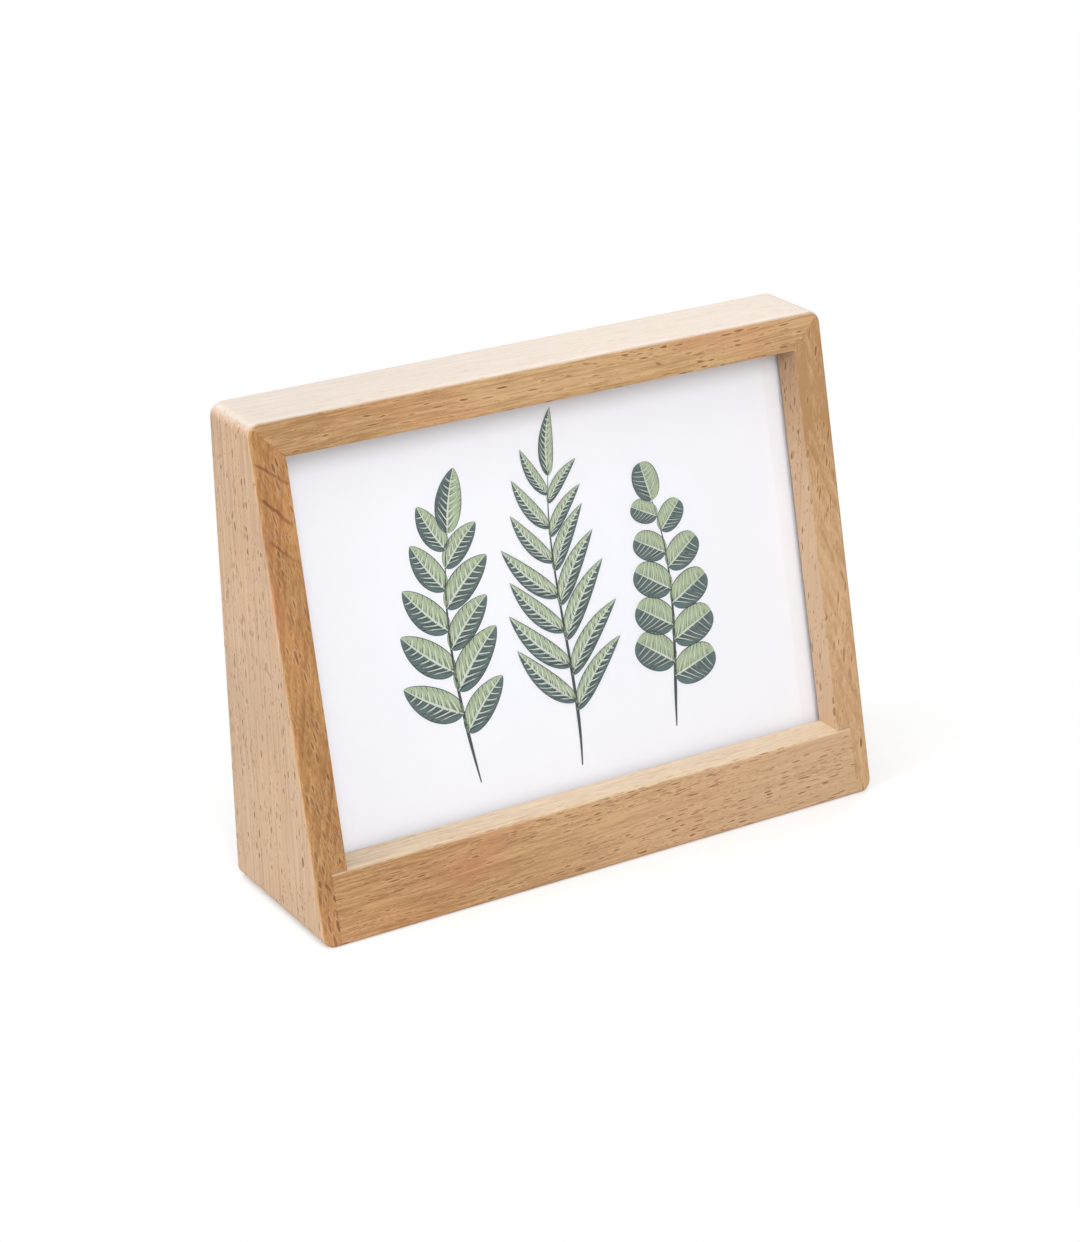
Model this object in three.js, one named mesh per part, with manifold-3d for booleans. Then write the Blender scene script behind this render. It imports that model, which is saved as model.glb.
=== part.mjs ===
// A wooden picture frame that stands on a desk: four boards glued up as a leaning wedge,
// with the picture held in a rebate from behind by four turn clips.
// Millimetres. +Z is up, the picture faces -Y, +X is to the viewer's right.
// The origin is the middle of the footprint, on the surface that the frame stands on.

import * as THREE from 'three';
import { mergeVertices } from 'three/addons/utils/BufferGeometryUtils.js';
import Module from 'manifold-3d';

const wasm = await Module();
wasm.setup();

// The picture and the layers round it, from the front to the rear
const pictureWidth = 178;
const pictureHeight = 127;
const glazingThickness = 2;
const printThickness = 0.3;
const cardThickness = 1.5;
const backingThickness = 3;
const sheetCornerRadius = 1;
const backingCornerRadius = 2.5;
const layerGap = 0.3; // between two layers, and between a layer and what carries it
const sideClearance = 0.5; // between the layers and each side wall
const topClearance = 0.3; // between the layers and the top board

// The boards
const wallThickness = 5.5; // behind the lip
const rebate = 4.9; // how far the lip reaches in over the edge of the picture
const lipDepth = 9.1; // from the front face to the rebate, square to the face
const topDepth = 23.5; // of the top board, front to rear
const lean = THREE.MathUtils.degToRad(12.35); // of the front face, away from the upright
const sillHeight = 20.8; // of the bottom rail, up to its ledge
const sillLip = 6.6; // of the ledge over the shelf that the layers stand on
const shelfMargin = 1.8; // the shelf runs this far on behind the layers
const cornerRadius = 3.8; // the four edges that run from the front to the rear
const arrisRadius = 0.8; // every other outer edge
const sillArrisRadius = 1.2; // the front edge of the ledge
const glueLine = 0.1; // between two boards

// The loose tongue in each mitre
const tongueWidth = 4.6; // across the mitre
const tongueThickness = 1.2;
const tongueStop = 4; // from its ends to the front and rear faces
const tongueFit = 0.15; // round it, in its slot

// The turn clips, the kerf that their tips lie in, and their rivets
const clipThickness = 0.8;
const clipWidth = 8;
const clipTipWidth = 5.4;
const clipHeelRadius = 3.5;
const clipTipRadius = 1.6;
const clipInset = 9; // from the side edge of the backing board to the rivet
const clipSpacing = 67; // from the lower rivet to the upper one
const clipBite = 1.5; // how far the tip lies in the wall
const kerfDepth = 2.3;
const kerfClearance = 0.4; // on each face of the clip
const kerfRun = 6; // the kerf runs this far past the swing of the clips
const shankRadius = 1.5;
const rivetHeadRadius = 3.2;
const rivetHeadHeight = 1;
const rivetHeadCrown = 0.45; // height of the domed part of the head
const rivetFootRadius = 2.5;
const rivetFootHeight = 0.9;
const turningFit = 0.1; // between the shank and the clip, and in the board
const footFit = 0.3; // round the rivet's foot, in its recess

// Facets of the round shapes
const arcSegments = 4;
const cornerSegments = 8;
const roundSegments = 32;
const overcut = 1; // how far a cutter runs on past the face that it cuts

// Sizes that follow from those above. A point on the front face is given by how far it
// is along the slope and how deep it is behind the face, square to it.
const slopeSin = Math.sin(lean);
const slopeCos = Math.cos(lean);
const slopeTan = Math.tan(lean);
const boardThickness = wallThickness + rebate;
const width = pictureWidth + 2 * (sideClearance + wallThickness);
const pocketEdge = width / 2 - wallThickness;

const glazingDepth = lipDepth + layerGap;
const printDepth = glazingDepth + glazingThickness + layerGap;
const cardDepth = printDepth + printThickness + layerGap;
const backingDepth = cardDepth + cardThickness + layerGap;
const clipDepth = backingDepth + backingThickness + layerGap;
const rivetHeadDepth = clipDepth + clipThickness + layerGap;

const shelfHeight = sillHeight - sillLip;
const backingRear = backingDepth + backingThickness;
const layersFoot = (shelfHeight + layerGap + backingRear * slopeSin) / slopeCos;
const layersTop = layersFoot + pictureHeight;
const ceiling = layersTop * slopeCos - glazingDepth * slopeSin + topClearance;
const height = ceiling + wallThickness;
const baseDepth = topDepth + height * slopeTan;
const toeLoss = arrisRadius * (1 / Math.tan((Math.PI / 2 - lean) / 2) - 1); // rounded off the toe
const rearFace = (baseDepth - toeLoss) / 2;
const frontFoot = rearFace - baseDepth;
const shelfRear = frontFoot + layersFoot * slopeSin + backingRear * slopeCos + shelfMargin;

// How far back the front face, or a plane some depth behind it, is at a height
const faceAt = (z, depth = 0) => frontFoot + z * slopeTan + depth / slopeCos;

// Places in the leaning layers: x as it is, y square to the front face, z along the slope
const leaning = new THREE.Group();
leaning.name = 'leaning_layers';
leaning.position.y = frontFoot;
leaning.rotation.x = -lean;
leaning.updateMatrixWorld();

// A closed outline through corners [x, y, radius], anticlockwise, with the corners rounded
function outline(corners) {
  const shape = new THREE.Shape();
  const at = (i) => new THREE.Vector2(...corners[(i + corners.length) % corners.length]);
  corners.forEach(([x, y, radius = 0], i) => {
    const corner = new THREE.Vector2(x, y);
    if (i === 0 && radius === 0) shape.moveTo(x, y);
    if (radius === 0) {
      shape.lineTo(x, y);
      return;
    }
    const back = at(i - 1).sub(corner).normalize();
    const ahead = at(i + 1).sub(corner).normalize();
    const half = Math.acos(back.dot(ahead)) / 2;
    const centre = back.clone().add(ahead).setLength(radius / Math.sin(half)).add(corner);
    const start = back.clone().multiplyScalar(radius / Math.tan(half)).add(corner);
    const end = ahead.clone().multiplyScalar(radius / Math.tan(half)).add(corner);
    if (i === 0) shape.moveTo(start.x, start.y);
    const from = start.sub(centre).angle();
    const to = end.sub(centre).angle();
    shape.absarc(centre.x, centre.y, radius, from, to, ahead.cross(back) < 0);
  });
  return shape;
}

function rectangle(x0, y0, x1, y1, radius = 0) {
  return outline([[x0, y0, radius], [x1, y0, radius], [x1, y1, radius], [x0, y1, radius]]);
}

function extruded(shape, depth, segments = arcSegments) {
  return new THREE.ExtrudeGeometry(shape, { depth, bevelEnabled: false, curveSegments: segments });
}

const alongX = new THREE.Matrix4().makeBasis(
  new THREE.Vector3(0, 1, 0), new THREE.Vector3(0, 0, 1), new THREE.Vector3(1, 0, 0));
const alongY = new THREE.Matrix4().makeBasis(
  new THREE.Vector3(1, 0, 0), new THREE.Vector3(0, 0, 1), new THREE.Vector3(0, -1, 0));

// Prisms: an outline in YZ run from x0 to x1, one in XZ from y0 to y1, one in XY from z0 to z1
function prismX(shape, x0, x1, segments) {
  return extruded(shape, x1 - x0, segments).applyMatrix4(alongX).translate(x0, 0, 0);
}

function prismY(shape, y0, y1, segments) {
  return extruded(shape, y1 - y0, segments).applyMatrix4(alongY).translate(0, y1, 0);
}

function prismZ(shape, z0, z1, segments) {
  return extruded(shape, z1 - z0, segments).translate(0, 0, z0);
}

// A shape made in the leaning layers, set where it is in the frame
function tilted(geometry) {
  return geometry.applyMatrix4(leaning.matrixWorld);
}

function solid(geometry) {
  const bare = geometry.clone();
  bare.deleteAttribute('normal');
  bare.deleteAttribute('uv');
  const merged = mergeVertices(bare);
  return new wasm.Manifold(new wasm.Mesh({
    numProp: 3,
    vertProperties: new Float32Array(merged.attributes.position.array),
    triVerts: new Uint32Array(merged.index.array),
  }));
}

function geometryOf(manifold) {
  const { vertProperties, triVerts } = manifold.getMesh();
  const geometry = new THREE.BufferGeometry();
  geometry.setAttribute('position', new THREE.BufferAttribute(vertProperties, 3));
  geometry.setIndex(new THREE.BufferAttribute(triVerts, 1));
  geometry.computeVertexNormals();
  return geometry;
}

function common(blank, ...others) {
  return others.reduce((kept, other) => kept.intersect(solid(other)), blank);
}

function cut(blank, ...cutters) {
  return cutters.reduce((kept, cutter) => kept.subtract(solid(cutter)), blank);
}

// The left-hand piece turned into its right-hand twin
function mirrored(geometry) {
  const twin = geometry.clone().scale(-1, 1, 1);
  const index = twin.index.array;
  for (let i = 0; i < index.length; i += 3) [index[i], index[i + 1]] = [index[i + 1], index[i]];
  twin.computeVertexNormals();
  return twin;
}

// The outside of the glued-up frame, with its rounded edges. Every board keeps inside it.
function outerShape() {
  const frontView = rectangle(-width / 2, 0, width / 2, height, cornerRadius);
  const sideView = outline([
    [frontFoot, 0, arrisRadius], [rearFace, 0, arrisRadius],
    [rearFace, height, arrisRadius], [faceAt(height), height, arrisRadius]]);
  const reach = 2 * (height + baseDepth);
  const frontEdges = outline([
    [-width / 2, reach], [-width / 2, 0, arrisRadius], [width / 2, 0, arrisRadius], [width / 2, reach]]);
  const rearEdges = outline([
    [-width / 2, -reach], [width / 2, -reach],
    [width / 2, rearFace, arrisRadius], [-width / 2, rearFace, arrisRadius]]);
  return common(
    solid(prismX(sideView, -width / 2, width / 2)),
    prismY(frontView, frontFoot - overcut, rearFace + overcut, cornerSegments),
    tilted(prismZ(frontEdges, -height, 2 * height)),
    prismZ(rearEdges, -overcut, height + overcut));
}

// A wedge on one side of the left-hand mitre, which runs down and in from the outer corner
function mitreWedge(isAbove) {
  const left = -width / 2;
  const run = 2 * boardThickness;
  const shift = (isAbove ? -glueLine : glueLine) / Math.SQRT2;
  const corner = isAbove ? [left + run, height + run] : [left - run, height - run];
  const ends = [[left - run, height + run + shift], [left + run, height - run + shift]];
  if (!isAbove) ends.reverse();
  return prismY(outline([corner, ...ends]), frontFoot - overcut, rearFace + overcut);
}

// The tongue across the left-hand mitre, or its slot when it is made larger all round
function tongueShape(extra) {
  const middle = wallThickness / 2;
  const long = tongueWidth / 2 + extra;
  const thin = tongueThickness / 2 + extra;
  const blade = prismY(
    rectangle(-long, -thin, long, thin),
    faceAt(height - middle) + tongueStop - extra,
    rearFace - tongueStop + extra);
  return blade.rotateY(-Math.PI / 4).translate(middle - width / 2, 0, height - middle);
}

// Tip and swing of a clip, and where the rivets are in the leaning layers
const clipReach = clipInset + sideClearance + clipBite;
const rivetX = pictureWidth / 2 - clipInset;
const layersMiddle = (layersFoot + layersTop) / 2;
const lowerRivet = layersMiddle - clipSpacing / 2;
const upperRivet = layersMiddle + clipSpacing / 2;

// The left-hand side board: lip at the front, thin wall behind it, a notch for the end of the
// rail, a kerf for the tips of the clips, and the mitre with half of the tongue's slot
function sideBoard(outer) {
  const left = -width / 2;
  const inner = left + boardThickness;
  const wall = left + wallThickness;
  const lipEdges = outline([
    [left - overcut, 0], [inner, 0, arrisRadius],
    [inner, 2 * baseDepth], [left - overcut, 2 * baseDepth]]);
  const pocket = outline([
    [faceAt(-overcut, lipDepth), -overcut], [rearFace + overcut, -overcut],
    [rearFace + overcut, height + overcut], [faceAt(height + overcut, lipDepth), height + overcut]]);
  const notch = rectangle(
    frontFoot - overcut, -overcut, faceAt(sillHeight, lipDepth) + overcut, sillHeight + glueLine);
  const kerf = rectangle(
    wall - kerfDepth, clipDepth - kerfClearance,
    wall + overcut, clipDepth + clipThickness + kerfClearance);
  const blank = outer.intersect(solid(tilted(prismZ(lipEdges, -height, 2 * height))));
  return geometryOf(cut(
    blank,
    prismX(pocket, wall, inner + overcut),
    prismX(notch, wall, inner + overcut),
    tilted(prismZ(kerf, lowerRivet - clipReach - kerfRun, upperRivet + clipReach + kerfRun)),
    mitreWedge(true),
    tongueShape(tongueFit)));
}

// The top board: lip at the front, thin behind it, a mitre and half a slot at each end
function topBoard(outer) {
  const underside = height - boardThickness;
  const section = outline([
    [faceAt(underside), underside, arrisRadius],
    [faceAt(underside, lipDepth), underside],
    [faceAt(ceiling, lipDepth), ceiling],
    [rearFace + overcut, ceiling],
    [rearFace + overcut, height + overcut],
    [faceAt(height + overcut), height + overcut]]);
  const board = common(outer, prismX(section, -width / 2, width / 2));
  const mitre = geometryOf(solid(mitreWedge(false)));
  const slot = geometryOf(solid(tongueShape(tongueFit)));
  return geometryOf(cut(board, mitre, mirrored(mitre), slot, mirrored(slot)));
}

// The bottom rail: level ledge and lip in front of the picture, shelf under it, ends that
// run through the notches to the walls of the side boards
function bottomRail(outer) {
  const end = pocketEdge - glueLine;
  const section = outline([
    [frontFoot, 0], [shelfRear, 0, arrisRadius], [shelfRear, shelfHeight, arrisRadius],
    [faceAt(shelfHeight, lipDepth), shelfHeight],
    [faceAt(sillHeight, lipDepth), sillHeight],
    [faceAt(sillHeight), sillHeight, sillArrisRadius]]);
  return geometryOf(common(outer, prismX(section, -end, end)));
}

// A flat layer in the leaning group, from its foot at the shelf
function layerShape(radius) {
  return rectangle(-pictureWidth / 2, layersFoot, pictureWidth / 2, layersTop, radius);
}

function sheet(depth, thickness) {
  return prismY(layerShape(sheetCornerRadius), depth, depth + thickness);
}

const rivetPlaces = {
  lower_left: [-rivetX, lowerRivet],
  lower_right: [rivetX, lowerRivet],
  upper_left: [-rivetX, upperRivet],
  upper_right: [rivetX, upperRivet],
};

// A rivet's profile about its own axis, from the foot in the board to the domed head.
// grow makes the profile of its hole.
function rivetProfile(shankGrow, footGrow) {
  const footFace = backingDepth + layerGap - footGrow;
  const footTop = footFace + rivetFootHeight + 2 * footGrow;
  const shank = shankRadius + shankGrow;
  const foot = rivetFootRadius + footGrow;
  return { footFace, footTop, shank, foot };
}

function rivet() {
  const { footFace, footTop, shank, foot } = rivetProfile(0, 0);
  const profile = new THREE.Path();
  profile.moveTo(0, footFace);
  profile.lineTo(foot, footFace);
  profile.lineTo(foot, footTop);
  profile.lineTo(shank, footTop);
  profile.lineTo(shank, rivetHeadDepth);
  profile.lineTo(rivetHeadRadius, rivetHeadDepth);
  const rim = rivetHeadDepth + rivetHeadHeight - rivetHeadCrown;
  profile.lineTo(rivetHeadRadius, rim);
  const crown = (rivetHeadRadius ** 2 + rivetHeadCrown ** 2) / (2 * rivetHeadCrown);
  const rise = Math.asin(rivetHeadRadius / crown);
  profile.absarc(0, rim + rivetHeadCrown - crown, crown, Math.PI / 2 - rise, Math.PI / 2, false);
  const points = profile.getPoints(arcSegments);
  points.at(-1).x = 0;
  return new THREE.LatheGeometry(points, roundSegments);
}

// The backing board, drilled for the shanks and recessed from the front for the feet
function backingBoard() {
  const { footTop, shank, foot } = rivetProfile(turningFit, footFit);
  const rear = backingDepth + backingThickness + overcut;
  const hole = new THREE.LatheGeometry([
    new THREE.Vector2(0, backingDepth - overcut),
    new THREE.Vector2(foot, backingDepth - overcut),
    new THREE.Vector2(foot, footTop),
    new THREE.Vector2(shank, footTop),
    new THREE.Vector2(shank, rear),
    new THREE.Vector2(0, rear)], roundSegments);
  const board = prismY(layerShape(backingCornerRadius), backingDepth, backingDepth + backingThickness);
  const holes = Object.values(rivetPlaces).map(([x, z]) => hole.clone().translate(x, 0, z));
  return geometryOf(cut(solid(board), ...holes));
}

// A turn clip about its own rivet, with its tip towards +X: round heel, tapered blade, pierced
function turnClip() {
  const plate = outline([
    [-clipWidth / 2, -clipWidth / 2, clipHeelRadius],
    [clipReach, -clipTipWidth / 2, clipTipRadius],
    [clipReach, clipTipWidth / 2, clipTipRadius],
    [-clipWidth / 2, clipWidth / 2, clipHeelRadius]]);
  const bore = new THREE.CylinderGeometry(
    shankRadius + turningFit, shankRadius + turningFit, clipThickness + 2 * overcut, roundSegments)
    .translate(0, clipThickness / 2, 0);
  return geometryOf(cut(solid(prismY(plate, 0, clipThickness, cornerSegments)), bore));
}

const beech = { color: 0xd2ad80, roughness: 0.55, metalness: 0 };
const paleBeech = { color: 0xe2c49c, roughness: 0.55, metalness: 0 };
const tongueWood = { color: 0xc9a373, roughness: 0.7, metalness: 0 };
const clearSheet = { color: 0xf4f8fa, roughness: 0.05, metalness: 0, transparent: true, opacity: 0.2 };
const whitePaper = { color: 0xf4f4f8, roughness: 0.9, metalness: 0 };
const greyCard = { color: 0xa79e90, roughness: 0.95, metalness: 0 };
const brownBoard = { color: 0x8d6a47, roughness: 0.85, metalness: 0 };
const brightSteel = { color: 0xc6c7c4, roughness: 0.35, metalness: 1 };

function piece(name, geometry, finish, parent) {
  const mesh = new THREE.Mesh(geometry, new THREE.MeshStandardMaterial({ ...finish, flatShading: true }));
  mesh.name = name;
  parent.add(mesh);
  return mesh;
}

const frame = new THREE.Group();
frame.name = 'picture_frame';
frame.add(leaning);

const outer = outerShape();
const leftSide = sideBoard(common(outer, prismX(
  rectangle(frontFoot - overcut, -overcut, rearFace + overcut, height + overcut),
  -width / 2 - overcut, boardThickness - width / 2)));
piece('left_side', leftSide, beech, frame);
piece('right_side', mirrored(leftSide), beech, frame);
piece('top_board', topBoard(outer), paleBeech, frame);
piece('bottom_rail', bottomRail(outer), beech, frame);

const leftTongue = geometryOf(solid(tongueShape(0)));
piece('left_mitre_tongue', leftTongue, tongueWood, frame);
piece('right_mitre_tongue', mirrored(leftTongue), tongueWood, frame);

piece('glazing', sheet(glazingDepth, glazingThickness), clearSheet, leaning);
piece('print', sheet(printDepth, printThickness), whitePaper, leaning);
piece('filler_card', sheet(cardDepth, cardThickness), greyCard, leaning);
piece('backing_board', backingBoard(), brownBoard, leaning);

for (const [place, [x, z]] of Object.entries(rivetPlaces)) {
  const clip = piece(`${place}_clip`, turnClip(), brightSteel, leaning);
  clip.position.set(x, clipDepth, z);
  clip.rotation.y = x < 0 ? Math.PI : 0;
  piece(`${place}_rivet`, rivet(), brightSteel, leaning).position.set(x, 0, z);
}

export default frame;
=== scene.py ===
"""A wooden picture frame that stands on a desk, modelled piece by piece and dressed for its portrait.

Everything is in metres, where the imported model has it: +Z is up, the picture faces -Y, +X is to
the viewer's right. A place in the leaning layers is given by three numbers: along X, how deep it
is behind the front face and how far it is up the slope.
"""

import logging
import math
import random
from collections.abc import Callable, Iterator
from contextlib import contextmanager
from dataclasses import dataclass, field
from enum import Enum

import bmesh
import bpy
from mathutils import Matrix, Vector


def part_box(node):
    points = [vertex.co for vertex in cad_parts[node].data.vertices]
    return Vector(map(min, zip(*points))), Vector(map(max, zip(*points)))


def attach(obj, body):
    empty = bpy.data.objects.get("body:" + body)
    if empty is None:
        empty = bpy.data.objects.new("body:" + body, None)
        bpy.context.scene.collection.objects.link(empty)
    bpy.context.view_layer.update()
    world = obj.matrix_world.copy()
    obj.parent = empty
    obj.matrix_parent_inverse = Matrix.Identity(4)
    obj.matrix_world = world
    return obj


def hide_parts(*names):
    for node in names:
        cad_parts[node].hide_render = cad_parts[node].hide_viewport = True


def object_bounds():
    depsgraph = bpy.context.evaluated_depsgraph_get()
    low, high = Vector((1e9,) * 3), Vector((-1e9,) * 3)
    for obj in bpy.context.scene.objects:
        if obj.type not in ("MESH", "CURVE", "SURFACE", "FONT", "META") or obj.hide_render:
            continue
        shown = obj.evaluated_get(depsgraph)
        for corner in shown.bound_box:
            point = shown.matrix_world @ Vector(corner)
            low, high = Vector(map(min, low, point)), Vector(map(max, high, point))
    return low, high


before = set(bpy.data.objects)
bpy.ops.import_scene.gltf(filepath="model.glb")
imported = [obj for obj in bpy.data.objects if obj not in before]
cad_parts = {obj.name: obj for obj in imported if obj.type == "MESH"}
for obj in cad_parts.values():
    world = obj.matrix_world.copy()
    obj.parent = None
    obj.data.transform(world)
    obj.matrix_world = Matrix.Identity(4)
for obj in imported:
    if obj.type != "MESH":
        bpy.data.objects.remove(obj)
cad_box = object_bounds()

log = logging.getLogger("picture_frame")

Pair = tuple[float, float]
Triple = tuple[float, float, float]
Colour = tuple[float, float, float, float]
Edges = tuple[Vector, Vector]
Piece = bpy.types.Object
Socket = bpy.types.NodeSocket
PlaceTest = Callable[[Vector], bool]
EdgeTest = Callable[[Vector, Vector], bool]

MM = 0.001
TOUCHING = 0.02 * MM

# A cutting block in the leaning layers runs on this far below, behind and above the frame.
BELOW, BEHIND, ABOVE = -0.1, 0.1, 0.25


def tint(red: int, green: int, blue: int) -> Colour:
    """Turns a colour as a screen shows it, 0 to 255, into the shader's linear one.

    Args:
        red: the red part.
        green: the green part.
        blue: the blue part.

    Returns:
        The linear colour, opaque.
    """

    def linear(part: int) -> float:
        """Undoes the screen's curve for one part."""
        share = part / 255
        return share / 12.92 if share <= 0.04045 else ((share + 0.055) / 1.055) ** 2.4

    return (linear(red), linear(green), linear(blue), 1.0)


@dataclass(frozen=True)
class Sizes:
    """The frame's own sizes, as in the solids.

    Attributes:
        width: across the frame.
        height: from the desk to the top.
        rear_face: how far back the rear is.
        shelf_rear: how far back the shelf runs.
        base_depth: of the footprint, as if its front edge were sharp.
        lean: of the front face, away from the upright, in radians.
        board: thickness of a board, seen from the front.
        wall: thickness of a side board behind its lip.
        lip_depth: from the front face to the rebate, square to the face.
        sill: height of the ledge.
        shelf: height of the shelf that the layers stand on.
        ceiling: height of the rebate under the top board.
        corner: radius of the four edges that run from the front to the rear.
        front_arris: width of the rounding round the front face.
        rear_arris: width of the rounding round the rear.
        lip_arris: width of the rounding along the lip's inner edge.
        sill_arris: width of the rounding along the ledge.
        joint: how far two glued boards are apart.
    """

    width: float
    height: float
    rear_face: float
    shelf_rear: float
    base_depth: float = 55.4684 * MM
    lean: float = math.radians(12.35)
    board: float = 10.4 * MM
    wall: float = 5.5 * MM
    lip_depth: float = 9.1 * MM
    sill: float = 20.8 * MM
    shelf: float = 14.2 * MM
    ceiling: float = 140.508 * MM
    corner: float = 3.8 * MM
    front_arris: float = 1.0 * MM
    rear_arris: float = 0.8 * MM
    lip_arris: float = 0.8 * MM
    sill_arris: float = 1.3 * MM
    joint: float = 0.05 * MM

    @property
    def front_foot(self) -> float:
        """How far forward the foot of the front face would be, if it were sharp."""
        return self.rear_face - self.base_depth

    @property
    def pocket_edge(self) -> float:
        """Half the width between the side boards' walls."""
        return self.width / 2 - self.wall

    @property
    def layers(self) -> Matrix:
        """Takes a place in the leaning layers to where it is in the frame.

        Returns:
            The matrix that does so.
        """
        sine, cosine = math.sin(self.lean), math.cos(self.lean)
        return Matrix(
            (
                (1, 0, 0, 0),
                (0, cosine, sine, self.front_foot),
                (0, -sine, cosine, 0),
                (0, 0, 0, 1),
            )
        )

    def on_front(self, place: Vector) -> bool:
        """Whether a place is on the front face."""
        depth = (place.y - self.front_foot) * math.cos(self.lean) - place.z * math.sin(self.lean)
        return abs(depth) < TOUCHING


def both(test: PlaceTest) -> EdgeTest:
    """Makes the test of an edge: whether both its ends pass the test of a place."""
    return lambda a, b: test(a) and test(b)


def at_level(axis: int, *levels: float) -> PlaceTest:
    """Makes the test of a place: whether it is at one of some levels along an axis."""
    return lambda place: any(abs(place[axis] - level) < TOUCHING for level in levels)


def runs_along_y(a: Vector, b: Vector) -> bool:
    """Whether the edge between two places runs along Y."""
    return (a.xz - b.xz).length < TOUCHING


def only(piece: Piece) -> None:
    """Selects one piece and nothing else.

    Args:
        piece: what is selected.
    """
    for other in list(bpy.context.selected_objects):
        other.select_set(False)
    piece.select_set(True)
    bpy.context.view_layer.objects.active = piece


@contextmanager
def editing(piece: Piece) -> Iterator[None]:
    """Opens one piece in edit mode with nothing in it selected, and closes it again.

    Args:
        piece: what is edited.

    Yields:
        Nothing, while the piece is open.
    """
    only(piece)
    bpy.ops.object.mode_set(mode="EDIT")
    bpy.ops.mesh.select_all(action="DESELECT")
    try:
        yield
    finally:
        bpy.ops.object.mode_set(mode="OBJECT")


def pick_edges(piece: Piece, chosen: EdgeTest) -> None:
    """Selects some edges of the piece in edit mode.

    Args:
        piece: whose edges they are.
        chosen: the test of an edge's two ends.
    """
    bpy.ops.mesh.select_mode(type="EDGE")
    mesh = bmesh.from_edit_mesh(piece.data)
    for edge in mesh.edges:
        if chosen(edge.verts[0].co, edge.verts[1].co):
            edge.select_set(True)
    bmesh.update_edit_mesh(piece.data)


def pick_faces(piece: Piece, chosen: Callable[[Vector, Vector], bool]) -> None:
    """Selects some faces of the piece in edit mode.

    Args:
        piece: whose faces they are.
        chosen: the test of a face's middle and normal.
    """
    bpy.ops.mesh.select_mode(type="FACE")
    mesh = bmesh.from_edit_mesh(piece.data)
    for face in mesh.faces:
        if chosen(face.calc_center_median(), face.normal):
            face.select_set(True)
    bmesh.update_edit_mesh(piece.data)


def settle(piece: Piece, place: Matrix) -> None:
    """Moves a piece to a place and puts that place into its mesh.

    Args:
        piece: what is moved.
        place: the move.
    """
    only(piece)
    piece.matrix_world = place @ piece.matrix_world
    bpy.ops.object.transform_apply(location=True, rotation=True, scale=True)


def added(name: str, primitive: Callable[..., set[str]], **settings: object) -> Piece:
    """Adds one of the plain shapes that the pieces start from.

    Args:
        name: of the new object.
        primitive: the operator that adds it.
        settings: the operator's own.

    Returns:
        The shape.
    """
    bpy.ops.object.select_all(action="DESELECT")
    primitive(**settings)
    piece = bpy.context.active_object
    piece.name = piece.data.name = name
    return piece


def block(name: str, low: Triple, high: Triple) -> Piece:
    """Adds a block between two corners.

    Args:
        name: of the new object.
        low: its lowest corner.
        high: its highest corner.

    Returns:
        The block, with its place in its mesh.
    """
    cube = bpy.ops.mesh.primitive_cube_add
    near, far = Vector(low), Vector(high)
    piece = added(name, cube, size=1, location=(near + far) / 2, scale=far - near)
    bpy.ops.object.transform_apply(location=True, rotation=True, scale=True)
    return piece


def slice_away(piece: Piece, place: Triple | Vector, normal: Triple | Vector) -> None:
    """Cuts a piece on a plane, closes the cut and drops one side.

    Args:
        piece: what is cut.
        place: a point on the plane.
        normal: of the plane, towards the side that is dropped.
    """
    with editing(piece):
        bpy.ops.mesh.select_all(action="SELECT")
        bpy.ops.mesh.bisect(plane_co=place, plane_no=normal, use_fill=True, clear_outer=True)


def round_edges(piece: Piece, chosen: EdgeTest, width: float, steps: int) -> None:
    """Rounds some edges of a piece.

    Args:
        piece: what is rounded.
        chosen: the test of an edge's two ends.
        width: from the old edge to where the rounding starts.
        steps: faces across the rounding.
    """
    with editing(piece):
        pick_edges(piece, chosen)
        bpy.ops.mesh.bevel(offset=width, segments=steps, affect="EDGES", clamp_overlap=False)


def modify(piece: Piece, kind: str, **settings: object) -> None:
    """Gives a piece a modifier and applies it.

    Args:
        piece: what is changed.
        kind: of modifier.
        settings: the modifier's own.
    """
    only(piece)
    modifier = piece.modifiers.new("change", kind)
    for name, value in settings.items():
        setattr(modifier, name, value)
    bpy.ops.object.modifier_apply(modifier=modifier.name)


def combine(piece: Piece, tool: Piece) -> None:
    """Cuts a piece with a tool and removes the tool."""
    modify(piece, "BOOLEAN", object=tool, operation="DIFFERENCE", solver="EXACT")
    bpy.data.objects.remove(tool)


def twin(piece: Piece, name: str) -> Piece:
    """Copies a piece.

    Args:
        piece: what is copied.
        name: of the copy.

    Returns:
        The copy, with a mesh of its own.
    """
    copy = piece.copy()
    copy.data = piece.data.copy()
    copy.name = copy.data.name = name
    bpy.context.scene.collection.objects.link(copy)
    return copy


def mirrored(piece: Piece, name: str) -> Piece:
    """Makes the right-hand twin of a left-hand piece.

    Args:
        piece: the left-hand one.
        name: of the right-hand one.

    Returns:
        The right-hand one, with its faces turned outwards again.
    """
    copy = twin(piece, name)
    settle(copy, Matrix.Scale(-1, 4, (1, 0, 0)))
    with editing(copy):
        bpy.ops.mesh.select_all(action="SELECT")
        bpy.ops.mesh.normals_make_consistent(inside=False)
    return copy


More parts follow.
